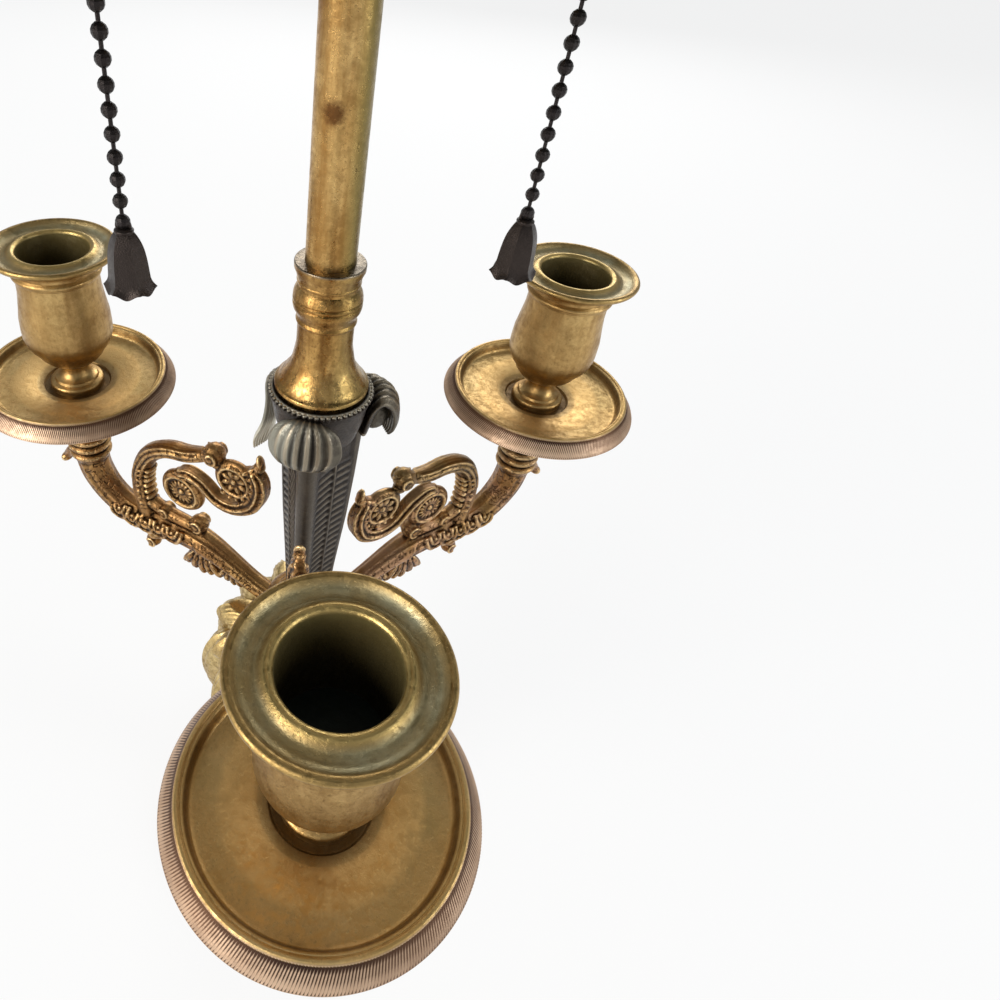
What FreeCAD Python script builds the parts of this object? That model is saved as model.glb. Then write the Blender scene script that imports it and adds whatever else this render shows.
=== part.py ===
"""Three-light bouillotte lamp, modelled upright with its origin at the centre of its foot, in millimetres."""
import FreeCAD
import Part
import math
import os
import Sketcher
from types import SimpleNamespace

# Driving dimensions: alias, value, meaning. Heights called level are above or below the drip pans' rim band.
SIZES = (
    ("pan_height", 230.0, "height of the drip pans' rim bands above the table"),
    ("arm_reach", 97.4, "distance from the stem's axis to each candle cup's axis"),
    ("running_gap", 0.05, "radial clearance of threads and sliding fits"),
    ("felt_thickness", 1.5, "felt under the foot"),
    ("foot_radius", 62.0, "greatest radius of the turned foot"),
    ("foot_wall", 4.5, "thickness of the foot's rim"),
    ("foot_neck_radius", 10.5, "radius of the foot's neck under the urn"),
    ("weight_radius", 30.5, "radius of the iron weight inside the foot"),
    ("weight_thickness", 12.0, "thickness of the iron weight"),
    ("grommet_bore", 3.3, "radius of the hole in the mains inlet"),
    ("urn_radius", 33.5, "radius of the urn's core inside its leaves"),
    ("urn_leaves", 12.0, "leaves in each of the urn's two tiers"),
    ("hub_radius", 14.5, "radius of the hub that holds the arms"),
    ("pipe_radius", 4.86, "outside radius of the threaded pipe that ties the lamp together"),
    ("pipe_bore", 3.4, "radius of the threaded pipe's bore, which the wires use"),
    ("stem_radius", 6.45, "outside radius of the stem tube"),
    ("stem_wall", 0.9, "wall of the stem tube"),
    ("socket_neck_radius", 7.4, "radius of the arm's end under its pan"),
    ("pan_radius", 34.7, "greatest radius of a drip pan"),
    ("pan_metal", 1.6, "thickness of a drip pan's floor"),
    ("cup_rim_radius", 20.15, "radius of a candle cup's rim"),
    ("cup_rim_level", 51.8, "level of a candle cup's rim"),
    ("cup_body_radius", 14.9, "greatest radius of a candle cup's body"),
    ("cup_foot_radius", 9.2, "radius of a candle cup's foot"),
    ("candle_bore", 11.25, "radius of the candle's hole"),
    ("candle_depth", 26.0, "depth of the candle's hole"),
    ("stud_radius", 2.5, "radius of the stud that holds a cup and pan to its arm"),
    ("collar_flare", 13.2, "radius of the turned collar's bell"),
    ("collar_ring", 9.1, "radius of the turned collar's rings"),
    ("collar_neck", 7.6, "radius of the turned collar's neck"),
    ("shaft_turn", -105.0, "direction of the shaft's first corner, in degrees"),
    ("shaft_rim_radius", 15.0, "radius of the rim on top of the leaf shaft"),
    ("cluster_reach", 39.5, "distance from the stem's axis to each lamp socket's axis"),
    ("cluster_turn", 10.4, "direction of the right-hand lamp socket, in degrees"),
    ("cluster_tube", 4.0, "radius of the cluster's arms"),
    ("cluster_level", 147.0, "level of the cluster's arms"),
    ("cap_level", 155.0, "level of the lamp sockets' bottoms"),
    ("shell_radius", 16.5, "outside radius of a lamp socket's shell"),
    ("shell_wall", 0.5, "wall of a lamp socket's shell"),
    ("shell_height", 46.0, "height of a lamp socket"),
    ("thread_bore", 13.4, "inside radius of the screw shell that takes a bulb"),
    ("outlet_level", 168.9, "level of the pull chain's outlet"),
    ("outlet_reach", 21.8, "distance from a lamp socket's axis to its pull chain"),
    ("left_outlet_turn", -102.0, "direction of the left pull chain from its socket, in degrees"),
    ("right_outlet_turn", -84.5, "direction of the right pull chain from its socket, in degrees"),
    ("bead_radius", 1.6, "radius of a bead of the pull chain"),
    ("bead_pitch", 4.17, "distance between beads of the pull chain"),
    ("bead_count", 17.0, "beads in each pull chain"),
    ("bell_height", 12.9, "height of a bell pull"),
    ("bell_lip", 5.3, "radius of a bell pull's lip at its corners"),
    ("shade_rod_radius", 4.0, "radius of the rod that carries the shade"),
    ("shade_rod_top", 345.0, "level of the rod's top"),
    ("shade_level", 172.0, "level of the shade's lower edge"),
    ("shade_height", 128.0, "height of the shade"),
    ("shade_bottom_radius", 160.0, "radius of the shade's lower edge"),
    ("shade_top_radius", 128.0, "radius of the shade's upper edge"),
    ("shade_sheet", 0.7, "thickness of the shade's metal"),
    ("carrier_drop", 14.0, "depth of the shade's spider below its upper edge"),
)

SECTION_TURNS = (-90.0, 30.0, 150.0)
ARM_NAMES = ("front", "right", "left")
FULL_TURN = 360.0

doc = FreeCAD.newDocument("bouillotte_lamp")
sheet = doc.addObject("Spreadsheet::Sheet", "dims")
for row, (alias, number, meaning) in enumerate(SIZES, start=1):
    sheet.set("A%d" % row, alias)
    sheet.set("B%d" % row, str(number))
    sheet.set("C%d" % row, meaning)
    sheet.setAlias("B%d" % row, alias)
doc.recompute()


class Size:
    """A number together with the spreadsheet formula that gives it."""

    def __init__(self, value, formula=None):
        self.value = float(value)
        self.formula = formula

    def text(self):
        return self.formula or "%.6f" % self.value

    def combine(self, other, value, sign, swapped=False):
        other = size(other)
        if self.formula is None and other.formula is None:
            return Size(value)
        first, second = (other, self) if swapped else (self, other)
        return Size(value, "(%s %s %s)" % (first.text(), sign, second.text()))

    def __add__(self, other):
        return self.combine(other, self.value + size(other).value, "+")

    def __radd__(self, other):
        return self.combine(other, self.value + size(other).value, "+", True)

    def __sub__(self, other):
        return self.combine(other, self.value - size(other).value, "-")

    def __rsub__(self, other):
        return self.combine(other, size(other).value - self.value, "-", True)

    def __mul__(self, other):
        return self.combine(other, self.value * size(other).value, "*")

    def __rmul__(self, other):
        return self.combine(other, self.value * size(other).value, "*", True)

    def __truediv__(self, other):
        return self.combine(other, self.value / size(other).value, "/")

    def __neg__(self):
        return 0.0 - self


def size(number):
    return number if isinstance(number, Size) else Size(number)


def root(square):
    square = size(square)
    formula = None if square.formula is None else "sqrt(%s)" % square.formula
    return Size(math.sqrt(square.value), formula)


d = SimpleNamespace(**{alias: Size(float(sheet.get(alias)), "dims." + alias) for alias, _, _ in SIZES})


def bind(thing, path, number):
    if size(number).formula is not None:
        thing.setExpression(path, number.formula)


def place(thing, at=(0.0, 0.0, 0.0), turn=0.0, tilt=None):
    """Puts a piece at a point, turned about the vertical by degrees, or by the rotation in tilt."""
    rotation = tilt or FreeCAD.Rotation(FreeCAD.Vector(0, 0, 1), size(turn).value)
    thing.Placement = FreeCAD.Placement(FreeCAD.Vector(*[size(c).value for c in at]), rotation)
    for axis, coordinate in zip("xyz", at):
        bind(thing, "Placement.Base." + axis, coordinate)
    if tilt is None:
        bind(thing, "Placement.Rotation.Angle", size(turn))
    return thing


def around(reach, turn, height=0.0):
    """The point at a distance and direction from the stem's axis."""
    angle = math.radians(size(turn).value)
    return (reach * math.cos(angle), reach * math.sin(angle), height)


def level(height):
    return d.pan_height + height


def plane_of(body, role):
    return next(f for f in body.Origin.OriginFeatures if f.Role == role)


def add_sketch(body, role, name):
    sketch = body.newObject("Sketcher::SketchObject", name)
    sketch.AttachmentSupport = [(plane_of(body, role), "")]
    sketch.MapMode = "FlatFace"
    return sketch


def draw_outline(sketch, outline):
    """Draws a closed outline. Each point is (x, y), or (x, y, bulge) where an arc leads to it: the bulge is the
    tangent of a quarter of the arc's angle, positive where the arc turns left."""
    corners = [(size(p[0]), size(p[1])) for p in outline]
    bulges = [p[2] if len(p) > 2 else 0.0 for p in outline]
    ends = []
    for i, bulge in enumerate(bulges):
        (ax, ay), (bx, by) = corners[i - 1], corners[i]
        a = FreeCAD.Vector(ax.value, ay.value, 0)
        b = FreeCAD.Vector(bx.value, by.value, 0)
        if not bulge:
            sketch.addGeometry(Part.LineSegment(a, b), False)
            ends.append((1, 2))
            continue
        chord = b - a
        left = FreeCAD.Vector(-chord.y, chord.x, 0)
        centre = (a + b) * 0.5 + left * ((1 - bulge * bulge) / (4 * bulge))
        circle = Part.Circle(centre, FreeCAD.Vector(0, 0, 1), (a - centre).Length)
        first, last = (a, b) if bulge > 0 else (b, a)
        angles = [math.atan2(p.y - centre.y, p.x - centre.x) for p in (first, last)]
        sketch.addGeometry(Part.ArcOfCircle(circle, *angles), False)
        ends.append((1, 2) if bulge > 0 else (2, 1))
    constraints = []
    for i in range(len(corners)):
        after = (i + 1) % len(corners)
        constraints.append(Sketcher.Constraint("Coincident", i, ends[i][1], after, ends[after][0]))
    formulas = {}
    for i, (x, y) in enumerate(corners):
        for kind, axis, number in (("DistanceX", -2, x), ("DistanceY", -1, y)):
            if number.value == 0.0 and number.formula is None:
                constraints.append(Sketcher.Constraint("PointOnObject", i, ends[i][1], axis))
                continue
            formulas[len(constraints)] = number
            constraints.append(Sketcher.Constraint(kind, -1, 1, i, ends[i][1], number.value))
        if bulges[i]:
            run = x - corners[i - 1][0]
            rise = y - corners[i - 1][1]
            bend = abs((1 + bulges[i] * bulges[i]) / (4 * bulges[i]))
            radius = root(run * run + rise * rise) * bend
            formulas[len(constraints)] = radius
            constraints.append(Sketcher.Constraint("Radius", i, radius.value))
    sketch.addConstraint(constraints)
    for index, number in formulas.items():
        bind(sketch, "Constraints[%d]" % index, number)


def turned(label, outline, at=(0.0, 0.0, 0.0), turn=0.0, tilt=None):
    """A piece turned about its own upright axis: its outline is drawn as (radius, height)."""
    body = doc.addObject("PartDesign::Body", label)
    sketch = add_sketch(body, "XZ_Plane", label + "_profile")
    draw_outline(sketch, outline)
    turning = body.newObject("PartDesign::Revolution", label + "_turning")
    turning.Profile = sketch
    turning.ReferenceAxis = (sketch, ["V_Axis"])
    turning.Angle = FULL_TURN
    return place(body, at, turn, tilt)


def padded(label, outline, thickness, at=(0.0, 0.0, 0.0), turn=0.0, tilt=None):
    """A flat piece: its outline is drawn as (x, y) and it rises by its thickness."""
    body = doc.addObject("PartDesign::Body", label)
    sketch = add_sketch(body, "XY_Plane", label + "_outline")
    draw_outline(sketch, outline)
    pad = body.newObject("PartDesign::Pad", label + "_pad")
    pad.Profile = sketch
    pad.Length = size(thickness).value
    bind(pad, "Length", size(thickness))
    return place(body, at, turn, tilt)


def cylinder(name, radius, height, at=(0.0, 0.0, 0.0), turn=0.0, tilt=None):
    rod = doc.addObject("Part::Cylinder", name)
    rod.Radius = size(radius).value
    rod.Height = size(height).value
    bind(rod, "Radius", size(radius))
    bind(rod, "Height", size(height))
    return place(rod, at, turn, tilt)


def ball(name, radius, at):
    sphere = doc.addObject("Part::Sphere", name)
    sphere.Radius = size(radius).value
    bind(sphere, "Radius", size(radius))
    return place(sphere, at)


def lobe(name, half_sizes, at, turn=0.0):
    """An ellipsoid: half_sizes are its radial, sideways and upright half lengths."""
    shape = doc.addObject("Part::Ellipsoid", name)
    for prop, number in zip(("Radius2", "Radius3", "Radius1"), half_sizes):
        setattr(shape, prop, size(number).value)
        bind(shape, prop, size(number))
    shape.Angle1 = -90
    shape.Angle2 = 90
    shape.Angle3 = 360
    return place(shape, at, turn)


def tube(name, stations):
    """A round bar of changing thickness. Each station is (x, y, z, radius) on its centre line."""
    points = [FreeCAD.Vector(*[size(c).value for c in s[:3]]) for s in stations]
    rings = []
    for i, station in enumerate(stations):
        along = points[min(i + 1, len(points) - 1)] - points[max(i - 1, 0)]
        ring = doc.addObject("Part::Circle", "%s_ring_%d" % (name, i))
        ring.Radius = size(station[3]).value
        bind(ring, "Radius", size(station[3]))
        place(ring, station[:3], tilt=FreeCAD.Rotation(FreeCAD.Vector(0, 0, 1), along))
        rings.append(ring)
    bar = doc.addObject("Part::Loft", name)
    bar.Sections = rings
    bar.Solid = True
    bar.Ruled = False
    return bar


def fused(label, pieces, at=(0.0, 0.0, 0.0), turn=0.0):
    whole = doc.addObject("Part::MultiFuse", label)
    whole.Shapes = pieces
    return place(whole, at, turn)


def cut(label, base, tool, at=(0.0, 0.0, 0.0), turn=0.0):
    rest = doc.addObject("Part::Cut", label)
    rest.Base = base
    rest.Tool = tool
    return place(rest, at, turn)


nodes = []


def node(thing, label):
    thing.Label = label
    nodes.append(thing)
    return thing

# Foot: felt, turned foot with its hollow underside, iron weight, washer, nut and mains inlet.
FOOT_TOP = 73.0
CEILING = 24.0
PIPE_CLEAR = d.pipe_radius + d.running_gap
foot_base = d.felt_thickness
inner_foot = d.foot_radius - d.foot_wall
node(turned("felt_pad", [
    (0, 0), (d.foot_radius - 1.5, 0), (d.foot_radius - 1.5, d.felt_thickness), (0, d.felt_thickness)]), "felt_pad")
foot = turned("foot_turning", [
    (PIPE_CLEAR, CEILING), (d.weight_radius + 2.0, CEILING), (inner_foot, 11.0), (inner_foot, foot_base),
    (d.foot_radius, foot_base), (d.foot_radius, 7.0), (d.foot_radius - 4.0, 11.5, 0.4),
    (d.foot_radius - 6.0, 12.5), (d.foot_radius - 6.0, 15.0), (d.foot_radius - 9.0, 17.0, 0.3),
    (30.0, 31.0, -0.22), (26.0, 34.0), (26.0, 37.0), (14.0, 58.0, -0.3), (14.0, 60.0),
    (14.0, 66.0, 0.75), (12.0, 68.0), (d.foot_neck_radius, FOOT_TOP), (PIPE_CLEAR, FOOT_TOP)])
GROMMET_LEVEL = 8.0
GROMMET_RADIUS = 5.0
inlet_axis = FreeCAD.Rotation(FreeCAD.Vector(0, 0, 1), FreeCAD.Vector(0, 1, 0))
INLET_LENGTH = 10.0
inlet_hole = cylinder("inlet_hole", d.grommet_bore + 1.0, INLET_LENGTH,
                      (0.0, d.foot_radius - INLET_LENGTH + 1.0, GROMMET_LEVEL), tilt=inlet_axis)
node(cut("base_foot", foot, inlet_hole), "base_foot")
node(turned("cord_grommet", [
    (d.grommet_bore, 0), (d.grommet_bore + 1.0, 0), (d.grommet_bore + 1.0, d.foot_wall),
    (GROMMET_RADIUS + 0.5, d.foot_wall), (GROMMET_RADIUS, d.foot_wall + 1.5, 0.3),
    (d.grommet_bore, d.foot_wall + 1.5)],
    at=(0.0, inner_foot, GROMMET_LEVEL), tilt=inlet_axis), "cord_grommet")
weight_bottom = CEILING - d.weight_thickness
node(turned("base_weight", [
    (PIPE_CLEAR, weight_bottom), (d.weight_radius - 1.0, weight_bottom), (d.weight_radius, weight_bottom + 1.0),
    (d.weight_radius, CEILING), (PIPE_CLEAR, CEILING)]), "base_weight")
WASHER = 1.2
NUT_HEIGHT = 5.0
NUT_HALF_FLAT = 7.5
node(turned("base_washer", [
    (PIPE_CLEAR, weight_bottom - WASHER), (10.5, weight_bottom - WASHER), (10.5, weight_bottom),
    (PIPE_CLEAR, weight_bottom)]), "base_washer")


def hex_nut(label, bottom, half_flat, bore, height):
    blank = doc.addObject("Part::Prism", label + "_blank")
    blank.Polygon = 6
    blank.Circumradius = half_flat / math.cos(math.pi / 6)
    blank.Height = height
    place(blank, (0.0, 0.0, bottom))
    hole = cylinder(label + "_hole", bore, height, (0.0, 0.0, bottom))
    return cut(label, blank, hole)


node(hex_nut("base_nut", weight_bottom - WASHER - NUT_HEIGHT, NUT_HALF_FLAT, PIPE_CLEAR, NUT_HEIGHT), "base_nut")

# Urn: a turned hollow core clad in two tiers of leaves.
URN_TOP = -76.0
urn_outside = [
    (d.foot_neck_radius, FOOT_TOP), (12.0, FOOT_TOP + 3.0), (20.0, level(-138.0), 0.2),
    (d.urn_radius, level(-112.0), 0.25), (d.urn_radius, level(-94.0), 0.2), (24.0, level(-80.0), 0.2),
    (15.0, level(URN_TOP)), (PIPE_CLEAR, level(URN_TOP)), (PIPE_CLEAR, FOOT_TOP)]
urn_core = turned("urn_core", urn_outside)
leaf_step = FULL_TURN / round(d.urn_leaves.value)
leaves = []
for i in range(round(d.urn_leaves.value)):
    turn = leaf_step * i
    between = turn + leaf_step / 2
    leaves.append(lobe("lower_leaf_%d" % i, (12.5, 9.6, 21.5), around(d.urn_radius - 7.0, turn, level(-104.5)),
                       turn + 180.0))
    leaves.append(lobe("upper_leaf_%d" % i, (12.0, 7.0, 9.5), around(d.urn_radius - 11.0, between, level(-84.0)),
                       between + 180.0))
urn_solid = fused("urn_solid", [urn_core] + leaves)
URN_WALL = 5.0
urn_room = turned("urn_room", [
    (PIPE_CLEAR, FOOT_TOP - 1.0), (PIPE_CLEAR, level(-134.0)), (18.0, level(-132.0)),
    (d.urn_radius - URN_WALL, level(-110.0), 0.2), (d.urn_radius - URN_WALL, level(-95.0), 0.15),
    (18.0, level(-84.0), 0.15), (PIPE_CLEAR, level(-82.0)), (PIPE_CLEAR, level(URN_TOP + 1.0)),
    (0, level(URN_TOP + 1.0)), (0, FOOT_TOP - 1.0)])
node(cut("urn_body", urn_solid, urn_room), "urn_body")

# Hub with three seats for the arms' tenons, and the screws that draw the arms in.
HUB_TOP = -58.0
ARM_SEAT = -70.0
TENON_RADIUS = 3.0
TENON_REACH = 9.0
hub_blank = turned("hub_blank", [
    (PIPE_CLEAR, level(URN_TOP)), (13.0, level(URN_TOP)), (d.hub_radius, level(URN_TOP + 2.5), 0.4),
    (d.hub_radius, level(HUB_TOP - 4.0)), (11.0, level(HUB_TOP - 1.0), 0.3), (10.0, level(HUB_TOP)),
    (PIPE_CLEAR, level(HUB_TOP))])


def outward(turn):
    """Turns an upright piece to lie along a horizontal direction."""
    angle = math.radians(turn)
    return FreeCAD.Rotation(FreeCAD.Vector(0, 0, 1), FreeCAD.Vector(math.cos(angle), math.sin(angle), 0))


SCREW_RADIUS = 1.4
seats = []
screws = []
for turn in SECTION_TURNS:
    seats.append(cylinder("tenon_seat_%d" % turn, TENON_RADIUS + d.running_gap, d.hub_radius,
                          around(TENON_REACH - d.running_gap, turn, level(ARM_SEAT)), tilt=outward(turn)))
    seats.append(cylinder("screw_way_%d" % turn, SCREW_RADIUS + d.running_gap, 5.0,
                          around(PIPE_CLEAR - 0.5, turn, level(ARM_SEAT)), tilt=outward(turn)))
    screws.append(cylinder("screw_stem_%d" % turn, SCREW_RADIUS, 6.0,
                           around(PIPE_CLEAR + 0.6, turn, level(ARM_SEAT)), tilt=outward(turn)))
node(cut("arm_hub", hub_blank, fused("hub_ways", seats)), "arm_hub")
group = doc.addObject("Part::Compound", "arm_screws")
group.Links = screws
node(group, "arm_screws")

# Scroll arms, each one casting, drawn in its own upright plane: x is the distance from the stem's axis.
# The castings' scrolls are bent up or down by hand, by so much at their inner ends.
SCROLL_LIFTS = {"front": 0.0, "right": -5.5, "left": 7.0}
SCROLL_FOOT = 71.0
SCROLL_REACH = 45.0
SOCKET_BOTTOM = -38.0
SOCKET_TOP = -3.0
LIMB = ((13.0, -70.0, 4.0), (22.0, -67.0, 4.0), (30.0, -63.2, 4.2), (38.0, -59.6, 4.8), (46.0, -57.2, 5.4),
        (55.0, -56.6, 5.5), (64.0, -57.4, 5.6), (73.0, -58.4, 5.6), (82.0, -57.0, 5.6), (90.0, -52.0, 5.8),
        (95.4, -44.5, 6.2), (97.4, -36.0, 6.4))
C_SCROLL = ((71.0, -54.0, 4.2), (72.4, -45.0, 4.2), (72.6, -36.0, 4.0), (70.6, -28.0, 3.8), (65.5, -20.8, 3.6),
            (57.5, -17.2, 3.4), (49.0, -16.6, 3.2), (41.0, -14.2, 2.6))
SIDE_STEM = ((45.0, -50.5, 2.4), (54.0, -50.2, 2.8), (62.5, -49.4, 2.9), (71.0, -46.5, 2.9))
S_STRAP = ((55.0, -27.4, 2.4), (49.5, -26.0, 2.9), (43.6, -28.6, 3.0), (37.2, -34.4, 3.0), (30.0, -35.6, 3.0),
           (22.8, -31.4, 2.9), (19.4, -24.4, 2.6), (19.0, -16.4, 2.2), (20.6, -8.6, 1.4))
SPUR = ((101.5, -37.0, 3.0), (107.5, -39.6, 2.6), (111.6, -43.6, 1.6))
ROSETTES = ((53.0, -35.5, 7.2, 2.1), (29.6, -22.0, 6.4, 2.0))
ROSETTE_THICKNESS = 5.0
SCROLL_BUDS = ((38.2, -12.6, 4.2), (37.0, -16.4, 2.6), (20.4, -8.0, 2.2))
LIMB_BUDS = ((46.6, -47.4, 3.9), (62.4, -49.0, 3.3), (70.6, -70.5, 3.3), (69.0, -64.5, 4.0))
ARM_LEAVES = ((45.5, -66.0, 8.5, 3.6, 10.0), (31.0, -67.0, 7.0, 3.2, 6.5), (84.0, -58.5, 7.5, 4.4, 4.6))


def scaled(x):
    """A place along an arm, which follows the arm's reach."""
    return d.arm_reach * (x / 97.4)


def raised(x, z, lift):
    """The level of a point of the scroll, which is bent about its foot on the limb."""
    return z + lift * max(SCROLL_FOOT - x, 0.0) / SCROLL_REACH


def bar_of(name, stations, lift=0.0):
    return tube(name, [(scaled(x), 0.0, raised(x, z, lift), radius) for x, z, radius in stations])


def scroll_arm(side, lift):
    """One arm's casting, pointing along x, with its stud hole and the hole for the screw in its tenon."""
    label = side + "_"
    pieces = [bar_of(label + "limb", LIMB), bar_of(label + "side_stem", SIDE_STEM), bar_of(label + "spur", SPUR),
              bar_of(label + "c_scroll", C_SCROLL, lift), bar_of(label + "s_strap", S_STRAP, lift)]
    sideways = FreeCAD.Rotation(FreeCAD.Vector(1, 0, 0), 90)
    thick = ROSETTE_THICKNESS
    for i, (x, z, radius, wire) in enumerate(ROSETTES):
        height = raised(x, z, lift)
        hoop = doc.addObject("Part::Torus", "%shoop_%d" % (label, i))
        hoop.Radius1 = radius
        hoop.Radius2 = wire
        pieces.append(place(hoop, (scaled(x), 0.0, height), tilt=sideways))
        pieces.append(turned("%srosette_%d" % (label, i), [
            (0, 0), (1.6, 0), (2.4, 0.9), (radius - 1.5, 0.5), (radius, 1.3), (radius, thick - 1.3),
            (radius - 1.5, thick - 0.5), (2.4, thick - 0.9), (1.6, thick), (0, thick)],
            at=(scaled(x), thick / 2, height), tilt=sideways))
    for i, (x, z, radius) in enumerate(SCROLL_BUDS):
        pieces.append(ball("%sscroll_bud_%d" % (label, i), radius, (scaled(x), 0.0, raised(x, z, lift))))
    for i, (x, z, radius) in enumerate(LIMB_BUDS):
        pieces.append(ball("%slimb_bud_%d" % (label, i), radius, (scaled(x), 0.0, z)))
    for i, (x, z, along, across, upright) in enumerate(ARM_LEAVES):
        pieces.append(lobe("%sleaf_%d" % (label, i), (along, across, upright), (scaled(x), 0.0, z)))
    neck = d.socket_neck_radius
    pieces.append(turned(label + "socket", [
        (0, SOCKET_BOTTOM), (5.6, SOCKET_BOTTOM), (neck - 0.4, -31.0, 0.1), (neck - 0.3, -27.4),
        (neck - 0.3, -24.6, 0.7), (neck - 0.6, -24.0), (neck - 0.2, -20.6, 0.7), (neck - 0.5, -20.0),
        (neck, -16.6, 0.7), (neck - 0.4, -16.0), (neck, SOCKET_TOP), (0, SOCKET_TOP)],
        at=(d.arm_reach, 0.0, 0.0)))
    coping = cylinder(label + "coping", d.hub_radius, 30.0, (0.0, 0.0, ARM_SEAT - 15.0))
    coped = cut(label + "coped", fused(label + "solid", pieces), coping)
    tenon = cylinder(label + "tenon", TENON_RADIUS, 8.0, (TENON_REACH, 0.0, ARM_SEAT), tilt=outward(0.0))
    stud_hole = cylinder(label + "stud_hole", d.stud_radius + d.running_gap, 13.0,
                         (d.arm_reach, 0.0, SOCKET_TOP - 12.0))
    screw_hole = cylinder(label + "screw_hole", SCREW_RADIUS + d.running_gap, 5.0,
                          (TENON_REACH - 1.0, 0.0, ARM_SEAT), tilt=outward(0.0))
    holes = fused(label + "holes", [stud_hole, screw_hole])
    return fused(label + "with_tenon", [coped, tenon]), holes


for name, turn in zip(ARM_NAMES, SECTION_TURNS):
    casting, holes = scroll_arm(name, SCROLL_LIFTS[name])
    node(cut("arm_" + name, casting, holes, at=(0.0, 0.0, d.pan_height), turn=turn), "arm_" + name)

# Drip pans, candle cups and the studs that hold them on the arms.
WELL = -1.4
STUD_CLEAR = d.stud_radius + d.running_gap
pan = d.pan_radius
floor = WELL + 0.2 + d.pan_metal
pan_outline = [
    (STUD_CLEAR, SOCKET_TOP), (11.4, SOCKET_TOP), (14.4, floor - d.pan_metal), (pan - 7.4, floor - d.pan_metal),
    (pan - 5.0, 1.2, 0.15), (pan - 3.6, 1.8), (pan - 1.3, -1.5), (pan - 0.4, -1.5), (pan, -0.7),
    (pan - 3.4, 3.9), (pan - 4.0, 4.5, 0.5), (pan - 4.8, 4.1), (pan - 5.2, 3.7, 0.4), (pan - 6.0, 3.3),
    (pan - 7.4, floor + 0.3, -0.2), (22.0, floor + 0.35), (15.0, floor + 0.1), (11.0, WELL, -0.25),
    (STUD_CLEAR, WELL)]
rim = d.cup_rim_level
body = d.cup_body_radius
cup_foot = d.cup_foot_radius
bore_floor = rim - 0.8 - d.candle_depth
FOOT_THREAD = 8.5
cup_outline = [
    (STUD_CLEAR, WELL), (cup_foot, WELL), (cup_foot, 0.2), (cup_foot - 0.8, 1.2, 0.3), (4.4, 6.4, -0.35),
    (4.4, 7.6), (6.0, 8.6, 0.4), (body - 3.0, 14.6, 0.2), (body, 23.0, 0.22), (body - 0.9, 32.0, 0.06),
    (body - 1.8, rim - 9.4, -0.05), (body - 0.9, rim - 8.2, 0.6), (body - 1.0, rim - 6.6, 0.5),
    (body - 0.6, rim - 4.8, -0.15), (d.cup_rim_radius - 1.4, rim - 2.0, -0.22),
    (d.cup_rim_radius, rim - 1.0, 0.35), (d.cup_rim_radius - 0.8, rim, 0.5),
    (d.candle_bore + 3.2, rim - 1.5, -0.06), (d.candle_bore + 2.8, rim - 0.6),
    (d.candle_bore + 0.6, rim - 0.4, 0.4),
    (d.candle_bore, rim - 0.9), (d.candle_bore, bore_floor), (0, bore_floor), (0, FOOT_THREAD),
    (STUD_CLEAR, FOOT_THREAD)]
studs = []
for name, turn in zip(ARM_NAMES, SECTION_TURNS):
    spot = around(d.arm_reach, turn, d.pan_height)
    node(turned("pan_" + name, pan_outline, at=spot), "pan_" + name)
    node(turned("cup_" + name, cup_outline, at=spot), "cup_" + name)
    studs.append(cylinder("stud_" + name, d.stud_radius, 22.0, around(d.arm_reach, turn, level(SOCKET_TOP - 11.5))))
group = doc.addObject("Part::Compound", "cup_studs")
group.Links = studs
node(group, "cup_studs")

# Leaf shaft: a three-sided taper with rounded corner ribs, a turned rim and a curled leaf on each corner.
SHAFT_SECTIONS = ((HUB_TOP, 6.0, 2.8), (-41.0, 7.2, 2.9), (-18.0, 9.2, 3.0), (2.0, 10.3, 3.1), (18.0, 10.8, 3.2),
                  (30.0, 11.0, 3.4))
SHAFT_RIM = 37.5
COLLAR_SEAT = 34.5


def rounded_triangle(corner_reach, corner_radius):
    """Three corner arcs joined by straight sides, as an outline in the horizontal plane."""
    outline = []
    for i in range(3):
        turn = d.shaft_turn.value + 120.0 * i
        for swing, bulge in ((-60.0, 0.0), (60.0, math.tan(math.radians(30.0)))):
            x, y, _ = around(corner_radius, turn + swing)
            cx, cy, _ = around(corner_reach, turn)
            outline.append((cx + x, cy + y, bulge))
    return outline


def shaft_taper():
    taper = doc.addObject("PartDesign::Body", "shaft_taper")
    sections = []
    for i, (height, corner_reach, corner_radius) in enumerate(SHAFT_SECTIONS):
        sketch = add_sketch(taper, "XY_Plane", "shaft_section_%d" % i)
        sketch.AttachmentOffset = FreeCAD.Placement(FreeCAD.Vector(0, 0, height), FreeCAD.Rotation())
        draw_outline(sketch, rounded_triangle(corner_reach, corner_radius))
        sections.append(sketch)
    loft = taper.newObject("PartDesign::AdditiveLoft", "shaft_loft")
    loft.Profile = sections[0]
    loft.Sections = sections[1:]
    loft.Ruled = True
    return place(taper, (0.0, 0.0, d.pan_height))


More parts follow.
